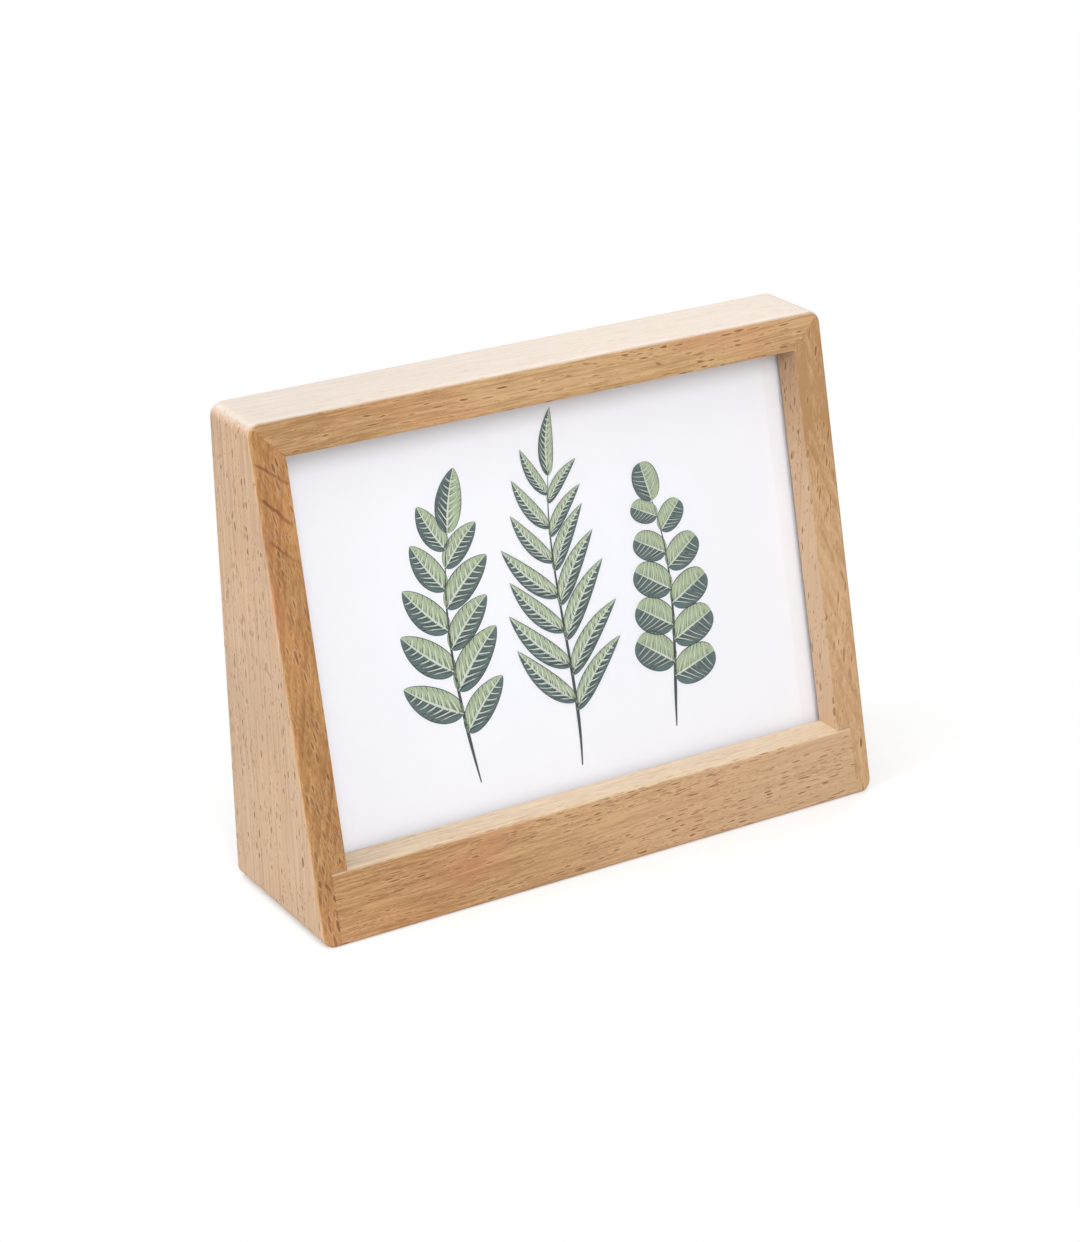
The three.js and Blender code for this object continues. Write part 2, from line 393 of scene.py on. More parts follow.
def polish(piece: Piece, sharpest: float = 32.0) -> None:
    """Merges doubles, shades the roundings smooth and keeps the flat faces flat.

    Args:
        piece: what is finished.
        sharpest: in degrees, the angle up to which two faces shade as one surface.
    """
    with editing(piece):
        bpy.ops.mesh.select_all(action="SELECT")
        bpy.ops.mesh.remove_doubles(threshold=0.002 * MM)
        bpy.ops.mesh.normals_make_consistent(inside=False)
    only(piece)
    bpy.ops.object.shade_smooth_by_angle(angle=math.radians(sharpest))
    modify(piece, "WEIGHTED_NORMAL", keep_sharp=True)


def dress(piece: Piece, finish: bpy.types.Material) -> None:
    """Gives a piece its one material.

    Args:
        piece: what is dressed.
        finish: its material.
    """
    if piece.material_slots:
        piece.material_slots[0].material = finish
    else:
        piece.data.materials.append(finish)


def dress_solid(node: str, finish: bpy.types.Material) -> None:
    """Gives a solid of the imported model, which stays as it is, its finish."""
    dress(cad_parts[node], finish)
    log.info("%s keeps its solid", node)


def seat(piece: Piece, body: str, slot: str, *nodes: str) -> None:
    """Args:
        piece: the new piece.
        body: that it rides on.
        slot: not used.
        nodes: the solids that it stands for.
    """
    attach(piece, body)
    if nodes:
        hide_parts(*nodes)
    log.info("%s rides on %s, %d faces", piece.name, body, len(piece.data.polygons))


class Nodes:
    """Adds and joins the nodes of one tree."""

    def __init__(self, tree: bpy.types.NodeTree) -> None:
        """Takes the tree as it is."""
        self.tree = tree

    def add(self, kind: str, inputs: dict | None = None, **settings: object) -> bpy.types.Node:
        """Adds a node.

        Args:
            kind: the node's type, without its common first word.
            inputs: a value, a signal or another node's socket for each input, by name or number.
            settings: the node's own properties.

        Returns:
            The node.
        """
        node = self.tree.nodes.new("ShaderNode" + kind)
        for key, value in settings.items():
            setattr(node, key, value)
        for key, value in (inputs or {}).items():
            source = value.socket if isinstance(value, Signal) else value
            if isinstance(source, Socket):
                self.tree.links.new(source, node.inputs[key])
            else:
                node.inputs[key].default_value = source
        return node

    def math(self, operation: str, *values: "Value", clamp: bool = False) -> "Signal":
        """Adds one piece of arithmetic and returns its result."""
        node = self.add("Math", dict(enumerate(values)), operation=operation, use_clamp=clamp)
        return Signal(self, node.outputs[0])

    def seen(self) -> "Signal":
        """Tells the rays that show something, to the camera or in metal or glass, from the rest.

        Returns:
            1 on such a ray, and 0 on one that only carries light.
        """
        path = self.add("LightPath").outputs
        shown = self.math("MAXIMUM", path["Is Camera Ray"], path["Is Glossy Ray"])
        return self.math("MAXIMUM", shown, path["Is Transmission Ray"])


@dataclass(frozen=True)
class Signal:
    """A number that a tree works out at every point. Arithmetic on it adds nodes.

    Attributes:
        nodes: the tree.
        socket: where the number comes out.
    """

    nodes: Nodes
    socket: Socket

    def __add__(self, other: "Value") -> "Signal":
        """Adds a number."""
        return self.nodes.math("ADD", self, other)

    def __sub__(self, other: "Value") -> "Signal":
        """Takes a number away."""
        return self.nodes.math("SUBTRACT", self, other)

    def __mul__(self, other: "Value") -> "Signal":
        """Multiplies by a number."""
        return self.nodes.math("MULTIPLY", self, other)

    def __truediv__(self, other: "Value") -> "Signal":
        """Divides by a number."""
        return self.nodes.math("DIVIDE", self, other)

    def __pow__(self, power: float) -> "Signal":
        """Raises to a power."""
        return self.nodes.math("POWER", self, power)

    def __abs__(self) -> "Signal":
        """Drops the sign."""
        return self.nodes.math("ABSOLUTE", self)

    def scaled(self, factor: "Value", plus: "Value", clamp: bool = False) -> "Signal":
        """Multiplies by a factor, adds to that and, if asked, keeps the result from 0 to 1."""
        return self.nodes.math("MULTIPLY_ADD", self, factor, plus, clamp=clamp)

    def step(self, low: float, high: float, to_low: float = 0.0, to_high: float = 1.0) -> "Signal":
        """Runs smoothly from one level to another between two limits.

        Args:
            low: the limit where the result starts to change.
            high: the limit where it ends.
            to_low: the result below the lower limit.
            to_high: the result above the upper limit.

        Returns:
            The result.
        """
        limits = {"From Min": low, "From Max": high, "To Min": to_low, "To Max": to_high}
        node = self.nodes.add("MapRange", {"Value": self} | limits, interpolation_type="SMOOTHSTEP")
        return Signal(self.nodes, node.outputs[0])


Value = float | Socket | Signal


class Recipe(Nodes):
    """Adds and joins the nodes of one material."""

    def __init__(self, name: str) -> None:
        """Starts an empty material with its output node.

        Args:
            name: of the material.
        """
        self.material = bpy.data.materials.new(name)
        self.material.use_nodes = True
        super().__init__(self.material.node_tree)
        self.tree.nodes.clear()
        self.output = self.tree.nodes.new("ShaderNodeOutputMaterial")

    def place(self) -> Socket:
        """Where a point is on the object, in metres."""
        return self.add("TexCoord").outputs["Object"]

    def normal(self) -> Socket:
        """Which way the surface looks at a point."""
        return self.add("TexCoord").outputs["Normal"]

    def parts(self, vector: Socket) -> tuple[Signal, ...]:
        """Takes a vector apart."""
        return tuple(Signal(self, part) for part in self.add("SeparateXYZ", {0: vector}).outputs)

    def arrows(self, operation: str, *vectors: Triple | Socket) -> Socket:
        """Adds one piece of arithmetic on vectors and returns its result."""
        return self.add("VectorMath", dict(enumerate(vectors)), operation=operation).outputs[0]

    def stretch(self, place: Socket, scale: Triple, shift: Triple = (0, 0, 0)) -> Socket:
        """Scales and shifts a place."""
        return self.add("Mapping", {"Vector": place, "Scale": scale, "Location": shift}).outputs[0]

    def cloud(self, place: Socket, scale: float, detail: float, rough: float) -> bpy.types.Node:
        """Adds a noise over a place and returns its node."""
        inputs = {"Vector": place, "Scale": scale, "Detail": detail, "Roughness": rough}
        return self.add("TexNoise", inputs)

    def noise(self, place: Socket, scale: float, detail: float = 2.0, rough: float = 0.5) -> Signal:
        """Adds a noise over a place and returns its value, about 0.5."""
        return Signal(self, self.cloud(place, scale, detail, rough).outputs[0])

    def swirl(self, place: Socket, scale: float = 1.0) -> Socket:
        """Adds a noise over a place and returns it as a vector, about 0 each way."""
        return self.arrows("SUBTRACT", self.cloud(place, scale, 2.0, 0.5).outputs[1], (0.5,) * 3)

    def blend(self, share: Value, first: Colour | Socket, second: Colour | Socket) -> Socket:
        """Mixes two colours and returns the result, the second colour where the share is 1."""
        node = self.add("Mix", {0: share, 6: first, 7: second}, data_type="RGBA")
        return node.outputs[2]

    def relief(self, height: Signal, strength: float, distance: float) -> Socket:
        """Adds a bump and returns its normal."""
        inputs = {"Height": height, "Strength": strength, "Distance": distance}
        return self.add("Bump", inputs).outputs[0]

    def mix(self, share: Value, first: Socket, second: Socket) -> None:
        """Ends the material in a mixture of two shaders, the second one where the share is 1."""
        node = self.add("MixShader", {0: share, 1: first, 2: second})
        self.tree.links.new(node.outputs[0], self.output.inputs["Surface"])

    def surface(self, inputs: dict[str, object]) -> bpy.types.Material:
        """Ends the material in a principled surface.

        Args:
            inputs: of the surface.

        Returns:
            The material.
        """
        node = self.add("BsdfPrincipled", inputs)
        self.tree.links.new(node.outputs[0], self.output.inputs["Surface"])
        return self.material


class Grain(Enum):
    """Which way the fibres of a board run: the turn that lays them along the pattern's Z."""

    UP = 0.0
    ACROSS = -math.pi / 2


@dataclass(frozen=True)
class Mark:
    """A dark mineral line or pith fleck on a front face, in millimetres.

    Attributes:
        start: X and height of its left end.
        end: X and height of its right end.
        width: from its middle to where it has faded.
        depth: how dark it is, 0 to 1.
        waver: how far it strays from straight.
    """

    start: Pair
    end: Pair
    width: float
    depth: float
    waver: float = 0.5


@dataclass(frozen=True)
class Drift:
    """How the tone of a board changes along its length.

    Attributes:
        start: place along the board where the change starts, in millimetres.
        end: place where it ends.
        first: how much deeper the wood is before it, 1 from the pale colour to the deep one.
        last: the same after it.
    """

    start: float = 0.0
    end: float = 1.0
    first: float = 0.0
    last: float = 0.0


@dataclass(frozen=True)
class Figure:
    """One noise in the wood, drawn out along the fibres.

    Attributes:
        across: how fine it is across the fibres, per millimetre.
        along: how fine it is along them, per millimetre.
        detail: how many finer noises it carries.
        rough: how strong these are.
        apart: shifts it, so that no two noises of a board agree.
    """

    across: float
    along: float
    detail: float = 2.0
    rough: float = 0.5
    apart: float = 0.0


@dataclass(frozen=True)
class RaySize:
    """The rays of one size: thin upright lenses that point to the pith, in millimetres.

    Attributes:
        room: that one ray has each way: round the tree, outwards and up.
        thick: half the thickness of a ray.
        tall: half its height.
        strength: how dark it is, 0 to 1.
    """

    room: Triple
    thick: float
    tall: float
    strength: float


# The wood's fibres, the broader strands and stripes among them, its clouds of tone, its warmer
# patches, how closely its rays stand, and the two noises that bend it as the tree grows.
FIBRE = Figure(1.9, 0.075, 4.0, 0.7)
STRAND = Figure(0.55, 0.022)
STRIPE = Figure(1.5, 0.02, rough=0.6)
CLOUD = Figure(0.045, 0.012, 3.0, 0.55)
WARMTH = Figure(0.05, 0.025, apart=3.0)
CROWD = Figure(0.09, 0.035, apart=7.0)
SLOW_BEND = Figure(0.020, 0.0055)
QUICK_BEND = Figure(0.07, 0.022)

BROAD_RAYS = RaySize((1.1, 5.0, 5.4), 0.3, 2.3, 1.0)
FINE_RAYS = RaySize((0.6, 3.2, 2.9), 0.16, 1.2, 0.75)


@dataclass(frozen=True)
class Beech:
    """Oiled beech. The tree's rings, rays and fibres fill the board, so each face shows its own cut.

    Attributes:
        name: of the material.
        grain: which way the fibres run.
        middle: the board's middle.
        pith: where the board's middle is from the tree's, across the grain, in millimetres.
        runout: how far the fibres turn away from the board, in degrees, about its two cross axes.
        pale: colour of the early wood.
        deep: colour of the late wood.
        fleck: colour of the rays where they are cut across.
        ring: width of a year's growth, in millimetres.
        flecks: share of the rays that show.
        flank_flecks: the same on the faces that look sideways.
        seed: shifts the noises, so that no two boards are alike.
        marks: dark lines on the front face.
        upper: painted light and sheen: the pale colour that the faces looking up are mixed towards.
        side_sheen: painted sheen: the paler, less orange colour mixed into the faces that look
            sideways.
        blush: colour of the redder patches.
        glow: colour of the pale tissue round the rays.
        fading: share of the flank colour mixed into the front, at the left end and at the right end,
            which makes the front paler towards those ends.
        top_sheen_share: share of the painted upper colour on faces that look up.
        contrast: between the fibres.
        wave: how far the fibres follow the bends of the rings, from 0 to 1.
        drift: of the tone along the board.
        stout: how thick and how tall the rays are on the faces that look sideways, as shares.
        streak: colour of the marks.
    """

    name: str
    grain: Grain
    middle: Triple
    pith: Pair
    runout: Pair
    pale: Colour
    deep: Colour
    fleck: Colour = tint(104, 58, 8)
    ring: float = 1.7
    flecks: float = 0.7
    flank_flecks: float = 0.46
    seed: float = 0.0
    marks: tuple[Mark, ...] = ()
    upper: Colour = tint(213, 204, 195)
    side_sheen: Colour = tint(206, 177, 148)
    blush: Colour = tint(190, 126, 84)
    glow: Colour = tint(228, 190, 146)
    fading: Pair = (0.0, 0.0)
    top_sheen_share: float = 0.78
    contrast: float = 2.8
    wave: float = 1.0
    drift: Drift = Drift()
    stout: Pair = (1.55, 0.72)
    streak: Colour = tint(106, 54, 6)

    @property
    def turn(self) -> Matrix:
        """Turns the board's axes to the tree's, with the fibres along Z.

        Returns:
            The turn.
        """
        across = Matrix.Rotation(math.radians(self.runout[0]), 3, "X")
        along = Matrix.Rotation(math.radians(self.runout[1]), 3, "Y")
        return across @ along @ Matrix.Rotation(self.grain.value, 3, "Y")

    def material(self) -> bpy.types.Material:
        """Mixes the finish."""
        return BeechMix(self).material()


class BeechMix:
    """The nodes of one board's finish.

    Attributes:
        finish: what the board's wood is like.
        recipe: of the material.
        up: how much a face looks up, from 0 to 1.
        aside: how much it looks sideways.
        ahead: how much it looks ahead.
        calm: how much of the contrast between the fibres it shows.
        wood: where a point is in the tree, in millimetres, with the fibres along Z.
        grown: the same, bent as the tree grew.
        x: how far that is across the fibres, one way.
        y: how far it is across them the other way.
        z: how far it is along them.
        radius: how far it is from the pith.
        straight: the place in the tree with only a share of the bends.
        fibre: the finest figure.
        deeper: what the drift along the board adds to the tone.
    """

    def __init__(self, finish: Beech) -> None:
        """Places the board in its tree.

        Args:
            finish: of the board.
        """
        self.finish = finish
        self.recipe = recipe = Recipe(finish.name)
        facing = recipe.parts(recipe.normal())
        # These masks also steer the painted sheen colours on the faces that look up and sideways.
        self.up = facing[2].step(0.35, 0.9)
        self.aside = abs(facing[0]).step(0.5, 0.93)
        self.ahead = facing[1].step(-0.35, -0.8)
        self.calm = self.up.scaled(-0.45, self.aside.scaled(-0.3, 1.0))

        self.wood = self.in_tree()
        self.grown = self.bent(self.bent(self.wood, SLOW_BEND, 7.0), QUICK_BEND, 1.5)
        self.x, self.y, self.z = recipe.parts(self.grown)
        self.radius = recipe.math("SQRT", self.x.scaled(self.x, self.y * self.y))
        bends = recipe.arrows("SUBTRACT", self.grown, self.wood)
        self.straight = recipe.arrows("MULTIPLY_ADD", bends, (finish.wave,) * 3, self.wood)
        self.fibre = self.figure(FIBRE, self.straight, 0.0)

        lengthwise = recipe.parts(recipe.place())[0 if finish.grain is Grain.ACROSS else 2]
        drift = finish.drift
        self.deeper = lengthwise.step(drift.start * MM, drift.end * MM, drift.first, drift.last)

    def in_tree(self) -> Socket:
        """Finds where a point of the board is in the tree.

        Returns:
            Its place, in millimetres, with the fibres along Z.
        """
        finish, turn = self.finish, self.finish.turn
        shift = Vector((*finish.pith, 37.0 * finish.seed)) - turn @ (Vector(finish.middle) / MM)
        inputs = {
            "Vector": self.recipe.place(),
            "Location": shift,
            "Rotation": turn.to_euler(),
            "Scale": (1 / MM,) * 3,
        }
        return self.recipe.add("Mapping", inputs).outputs[0]

    def drawn_out(self, figure: Figure, place: Socket, seed: float) -> Socket:
        """Scales a place in the tree for one figure."""
        scale = (figure.across, figure.across, figure.along)
        return self.recipe.stretch(place, scale, (seed + figure.apart,) * 3)

    def figure(self, figure: Figure, place: Socket, seed: float) -> Signal:
        """Adds one figure over a place in the tree and returns its value, about 0.5."""
        spread = self.drawn_out(figure, place, seed)
        return self.recipe.noise(spread, 1.0, figure.detail, figure.rough)

    def bent(self, place: Socket, figure: Figure, reach: float) -> Socket:
        """Bends the wood, as a tree grows, by up to about half the reach in millimetres."""
        sway = self.recipe.swirl(self.drawn_out(figure, place, self.finish.seed))
        return self.recipe.arrows("MULTIPLY_ADD", sway, (reach, reach, 0.0), place)

    def rings(self) -> Signal:
        """Adds the years' growth.

        Returns:
            How late in its year the wood grew, less in some years than in others.
        """
        recipe = self.recipe
        years = self.radius / self.finish.ring
        season = recipe.math("FRACT", years)
        late = season.step(0.1, 0.88) * season.step(0.9, 1.0, 1.0, 0.0)
        year = recipe.add("TexWhiteNoise", {"W": recipe.math("FLOOR", years)}, noise_dimensions="1D")
        return late * Signal(recipe, year.outputs[0]).scaled(0.8, 0.2)

    def tone(self) -> Signal:
        """Adds up what makes the wood deeper.

        Returns:
            0 for the pale colour, up to 1 for the deep one.
        """
        seed = self.finish.seed
        tone = (self.figure(CLOUD, self.wood, seed) - 0.5).scaled(1.3, 0.36)
        tone = (self.figure(STRAND, self.straight, seed) - 0.5).scaled(1.1, tone)
        tone = self.rings().scaled(0.4, tone) + self.deeper
        return (self.fibre - 0.5).scaled(self.calm * self.finish.contrast, tone, clamp=True)

    def ground(self) -> Socket:
        """Mixes the colour of the wood between its rays, with painted sheen on the faces that look up
        and sideways.

        Returns:
            The colour.
        """
        finish, recipe = self.finish, self.recipe
        colour = recipe.blend(self.tone(), finish.pale, finish.deep)
        warm = self.figure(WARMTH, self.wood, finish.seed).step(0.5, 0.78, 0.0, 0.45)
        colour = recipe.blend(warm, colour, finish.blush)
        if any(finish.fading):
            across = recipe.parts(recipe.place())[0]
            faded = across.step(-90 * MM, 90 * MM, *finish.fading)
            colour = recipe.blend(faded, colour, finish.side_sheen)
        # Painted sheen: the faces that look sideways are mixed towards the flank colour, in stripes
        # along the fibres and less where the wood runs deeper.
        stripe = self.figure(STRIPE, self.straight, finish.seed)
        side_sheen_mask = self.aside * stripe.scaled(1.3, -0.03, clamp=True) * self.deeper.scaled(-1.6, 1.0)
        colour = recipe.blend(side_sheen_mask, colour, finish.side_sheen)
        # Painted sheen: the faces that look up are mixed towards the upper colour, varying with the
        # fibres.
        spared = 1 - finish.top_sheen_share
        top_sheen_mask = self.fibre.scaled(-2.4 * spared, finish.top_sheen_share + 1.2 * spared, clamp=True)
        return recipe.blend(self.up * top_sheen_mask, colour, finish.upper)

    def slant(self) -> Signal:
        """Finds how thin a ray must be here for its cut to come out equally wide on every face.

        Returns:
            The factor: 1 on a face at about 45 degrees to the ray, less where it cuts it lengthwise.
        """
        recipe = self.recipe
        inputs = {"Vector": recipe.normal(), "Rotation": self.finish.turn.to_euler()}
        facing = recipe.parts(recipe.add("Mapping", inputs, vector_type="VECTOR").outputs[0])
        level = (facing[1] * self.x - facing[0] * self.y) / self.radius
        open_share = (level * level).scaled(-1.0, 1.0)
        return recipe.math("SQRT", recipe.math("MAXIMUM", open_share, 0.06)) * 1.33

    def rays(self) -> tuple[Signal, Signal]:
        """Adds the rays of both sizes.

        Returns:
            How dark a ray is here, and how pale the wood round it.
        """
        finish, recipe = self.finish, self.recipe
        turn = recipe.math("ARCTAN2", self.y, self.x) * math.hypot(*finish.pith)
        polar = recipe.add("CombineXYZ", {0: turn, 1: self.radius, 2: self.z}).outputs[0]
        crowd = self.figure(CROWD, self.grown, finish.seed).step(0.32, 0.66, 0.35, 1.35)
        share = crowd * self.aside.scaled(finish.flank_flecks - finish.flecks, finish.flecks)
        plump, short = (self.aside.scaled(factor - 1, 1.0) for factor in finish.stout)
        thin = self.slant() * plump
        broad, broad_rim = self.rays_of(BROAD_RAYS, polar, share, thin, short)
        fine, fine_rim = self.rays_of(FINE_RAYS, polar, share, thin, short)
        # The rays fade under the painted top sheen as well.
        dark = recipe.math("MAXIMUM", broad, fine) * self.up.scaled(-finish.top_sheen_share, 1.0)
        rims = recipe.math("MAXIMUM", broad_rim, fine_rim) * (self.calm * 0.22)
        return dark, rims

    def rays_of(
        self, size: RaySize, polar: Socket, share: Signal, thin: Signal, short: Signal
    ) -> tuple[Signal, Signal]:
        """Adds the rays of one size, each in a room of its own.

        Args:
            size: of the rays.
            polar: turn, radius and height in the tree.
            share: of the rooms that hold a ray.
            thin: factor on the thickness.
            short: factor on the height.

        Returns:
            How dark the ray is here, and how pale the wood round it.
        """
        recipe = self.recipe
        spread = recipe.stretch(polar, tuple(1 / side for side in size.room), (self.finish.seed,) * 3)
        rooms = recipe.add("TexVoronoi", {"Vector": spread, "Scale": 1.0, "Randomness": 0.92})
        draws = recipe.add("SeparateColor", {0: rooms.outputs["Color"]}).outputs
        thickness, pick, height = (Signal(recipe, draw) for draw in draws)
        off = recipe.parts(recipe.arrows("SUBTRACT", spread, rooms.outputs["Position"]))
        broad, high = 0.6 * size.thick / size.room[0], size.tall / size.room[2]
        thick = thickness.scaled(broad, broad) * thin
        tall = height.scaled(0.7 * high, 0.6 * high) * short
        near = abs(off[0]) / thick + (off[2] / tall) ** 2.0 + (abs(off[1]) / 0.46) ** 6.0
        dark = recipe.math("LESS_THAN", pick, share) * (pick / share).scaled(0.7, 0.3)
        core = near.step(0.45, 1.0, size.strength, 0.0)
        rim = near.step(1.0, 2.4, 1.0, 0.0)
        return core * dark, rim * dark

    def line(self, mark: Mark, waver: Signal) -> Signal:
        """Draws one dark line, wavy and thinning out to its ends.

        Args:
            mark: the line.
            waver: a noise about 0.

        Returns:
            How dark the line is here.
        """
        recipe = self.recipe
        start, end = Vector(mark.start), Vector(mark.end)
        run = end - start
        local = recipe.stretch(recipe.place(), (1, 1, 1), (-start.x * MM, 0, -start.y * MM))
        inputs = {"Vector": local, "Angle": math.atan2(run.y, run.x)}
        turned = recipe.add("VectorRotate", inputs, rotation_type="Y_AXIS").outputs[0]
        along, _, across = recipe.parts(turned)
        off = abs(waver.scaled(2 * mark.waver * MM, across))
        line = off.step(0.1 * mark.width * MM, mark.width * MM, mark.depth, 0.0)
        ends = min(1.5, 0.35 * run.length)
        begin = along.step(-0.3 * ends * MM, ends * MM)
        finish = along.step((run.length - ends) * MM, (run.length + 0.3 * ends) * MM, 1.0, 0.0)
        return line * along.step(0.0, run.length * MM, 1.0, 0.6) * (begin * finish)

    def lines(self) -> Signal:
        """Draws all the dark lines on the front face.

        Returns:
            How dark the lines are here.
        """
        waver = self.recipe.noise(self.recipe.place(), 330.0) - 0.5
        total: Value = 0.0
        for mark in self.finish.marks:
            total = self.recipe.math("MAXIMUM", total, self.line(mark, waver))
        return total * self.ahead

    def material(self) -> bpy.types.Material:
        """Mixes the finish.

        Returns:
            The material.
        """
        finish, recipe = self.finish, self.recipe
        specks, rims = self.rays()
        colour = recipe.blend(rims, self.ground(), finish.glow)
        colour = recipe.blend(specks * 0.88, colour, finish.fleck)
        if finish.marks:
            colour = recipe.blend(self.lines(), colour, finish.streak)
        return recipe.surface(
            {
                "Base Color": colour,
                "Roughness": specks.scaled(0.12, self.fibre.scaled(0.2, 0.34)),
                "IOR": 1.5,
                "Normal": recipe.relief(specks.scaled(-0.35, self.fibre), 0.5, 0.07 * MM),
            }
        )


@dataclass
class Boards:
    """The four glued boards and the tongues in their mitres.

    Attributes:
        sizes: the frame's sizes.
        tongue_width: of a tongue, across its mitre.
        tongue_thickness: of a tongue.
        tongue_fit: how far a tongue's slot is clear of it all round.
        kerf_depth: of the kerf for the clips, into the wall.
        kerf_front: depth of its front face in the layers.
        kerf_rear: depth of its rear face in the layers.
        kerf_foot: how far up the slope it starts.
        kerf_head: how far up the slope it ends.
    """

    sizes: Sizes
    tongue_width: float = 4.6 * MM
    tongue_thickness: float = 1.2 * MM
    tongue_fit: float = 0.15 * MM
    kerf_depth: float = 2.3 * MM
    kerf_front: float = 17.0 * MM
    kerf_rear: float = 18.6 * MM
    kerf_foot: float = 31.5 * MM
    kerf_head: float = 132.6 * MM

    def whole(self, name: str) -> Piece:
        """Shapes the outside of the glued-up frame, solid, from a block.

        Args:
            name: of the new piece.

        Returns:
            The piece.
        """
        s = self.sizes
        half = s.width / 2
        piece = block(name, (-half, s.front_foot, 0), (half, s.rear_face, s.height))
        slice_away(piece, (0, s.front_foot, 0), (0, -math.cos(s.lean), math.sin(s.lean)))
        round_edges(piece, runs_along_y, s.corner, 10)
        round_edges(piece, both(s.on_front), s.front_arris, 5)
        round_edges(piece, both(at_level(1, s.rear_face)), s.rear_arris, 5)
        return piece

    def front_edge(self, axis: int, level: float) -> EdgeTest:
        """Makes the test of an edge on the front face that is at one level along an axis."""
        at = at_level(axis, level)
        return both(lambda place: at(place) and self.sizes.on_front(place))

    def layer_block(self, low: Triple, high: Triple) -> Piece:
        """Adds a cutting block that leans with the front face.

        Args:
            low: its lowest corner in the layers.
            high: its highest corner.

        Returns:
            The block.
        """
        tool = block("tool", low, high)
        settle(tool, self.sizes.layers)
        return tool

    def behind_lip(self, edge: float, far: float) -> Piece:
        """Adds a cutting block for all that is behind the lip, between two places along X."""
        return self.layer_block((edge, self.sizes.lip_depth, BELOW), (far, BEHIND, ABOVE))

    def kerf(self) -> Piece:
        """Adds the cutting block for the kerf that the left-hand clips turn into.

        Returns:
            The block.
        """
        wall, inside = self.sizes.pocket_edge, 1 * MM
        low = (-wall - self.kerf_depth, self.kerf_front, self.kerf_foot)
        return self.layer_block(low, (-wall + inside, self.kerf_rear, self.kerf_head))

    def tongue_slot(self, right: bool = False) -> Piece:
        """Adds the cutting block for the tongue across a mitre.

        Args:
            right: True for the right-hand mitre.

        Returns:
            The block.
        """
        s = self.sizes
        low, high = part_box("left_mitre_tongue")
        long = self.tongue_width / 2 + self.tongue_fit
        thin = self.tongue_thickness / 2 + self.tongue_fit
        front, rear = low.y - self.tongue_fit, high.y + self.tongue_fit
        tool = block("tool", (-long, front, -thin), (long, rear, thin))
        middle = Matrix.Translation((s.wall / 2 - s.width / 2, 0, s.height - s.wall / 2))
        settle(tool, middle @ Matrix.Rotation(-math.pi / 4, 4, "Y"))
        if not right:
            return tool
        copy = mirrored(tool, "tool")
        bpy.data.objects.remove(tool)
        return copy

    def mitre(self, piece: Piece, keep_above: bool, right: bool = False) -> None:
        """Cuts a piece on a mitre and drops one side of it.

        Args:
            piece: what is cut.
            keep_above: True keeps the top board's side of the joint.
            right: True cuts on the right-hand mitre.
        """
        s = self.sizes
        side = 1 if right else -1
        normal = Vector((-side, 0, 1)).normalized()
        if keep_above:
            normal = -normal
        place = Vector((side * s.width / 2, 0, s.height)) - normal * s.joint / 2
        slice_away(piece, place, normal)

    def left_side(self) -> Piece:
        """Makes the left side board: lip, wall, notch for the rail, kerf and mitre.

        Returns:
            The board.
        """
        s = self.sizes
        wall, inner = -s.pocket_edge, s.board - s.width / 2
        past_lip = inner + s.wall
        piece = self.whole("left_side_board")
        slice_away(piece, (inner, 0, 0), (1, 0, 0))
        round_edges(piece, self.front_edge(0, inner), s.lip_arris, 4)
        self.mitre(piece, keep_above=False)
        combine(piece, self.behind_lip(wall, past_lip))
        front, rear, below = -0.05, 0.05, -0.01
        combine(piece, block("tool", (wall, front, below), (past_lip, rear, s.sill + s.joint)))
        combine(piece, self.kerf())
        combine(piece, self.tongue_slot())
        return piece

    def top(self) -> Piece:
        """Makes the top board: lip, rebate and a mitre at each end.

        Returns:
            The board.
        """
        s = self.sizes
        underside = s.height - s.board
        piece = self.whole("top_board_piece")
        slice_away(piece, (0, 0, underside), (0, 0, -1))
        round_edges(piece, self.front_edge(2, underside), s.lip_arris, 4)
        self.mitre(piece, keep_above=True)
        self.mitre(piece, keep_above=True, right=True)
        rebate = self.behind_lip(-s.width, s.width)
        slice_away(rebate, (0, 0, s.ceiling), (0, 0, 1))
        combine(piece, rebate)
        combine(piece, self.tongue_slot())
        combine(piece, self.tongue_slot(right=True))
        return piece

    def rail(self) -> Piece:
        """Makes the bottom rail: level ledge, lip and shelf.

        Returns:
            The rail.
        """
        s = self.sizes
        end = s.pocket_edge - s.joint
        piece = self.whole("bottom_rail_piece")
        slice_away(piece, (0, 0, s.sill), (0, 0, 1))
        slice_away(piece, (end, 0, 0), (1, 0, 0))
        slice_away(piece, (-end, 0, 0), (-1, 0, 0))
        slice_away(piece, (0, s.shelf_rear, 0), (0, 1, 0))
        round_edges(piece, self.front_edge(2, s.sill), s.sill_arris, 6)
        step = self.behind_lip(-s.width, s.width)
        slice_away(step, (0, 0, s.shelf), (0, 0, -1))
        combine(piece, step)
        at_rear = at_level(1, s.shelf_rear)

        def level_at_rear(a: Vector, b: Vector) -> bool:
            """Whether an edge runs level along the rear."""
            return at_rear(a) and at_rear(b) and abs(a.z - b.z) < TOUCHING

        round_edges(piece, level_at_rear, s.rear_arris, 4)
        return piece

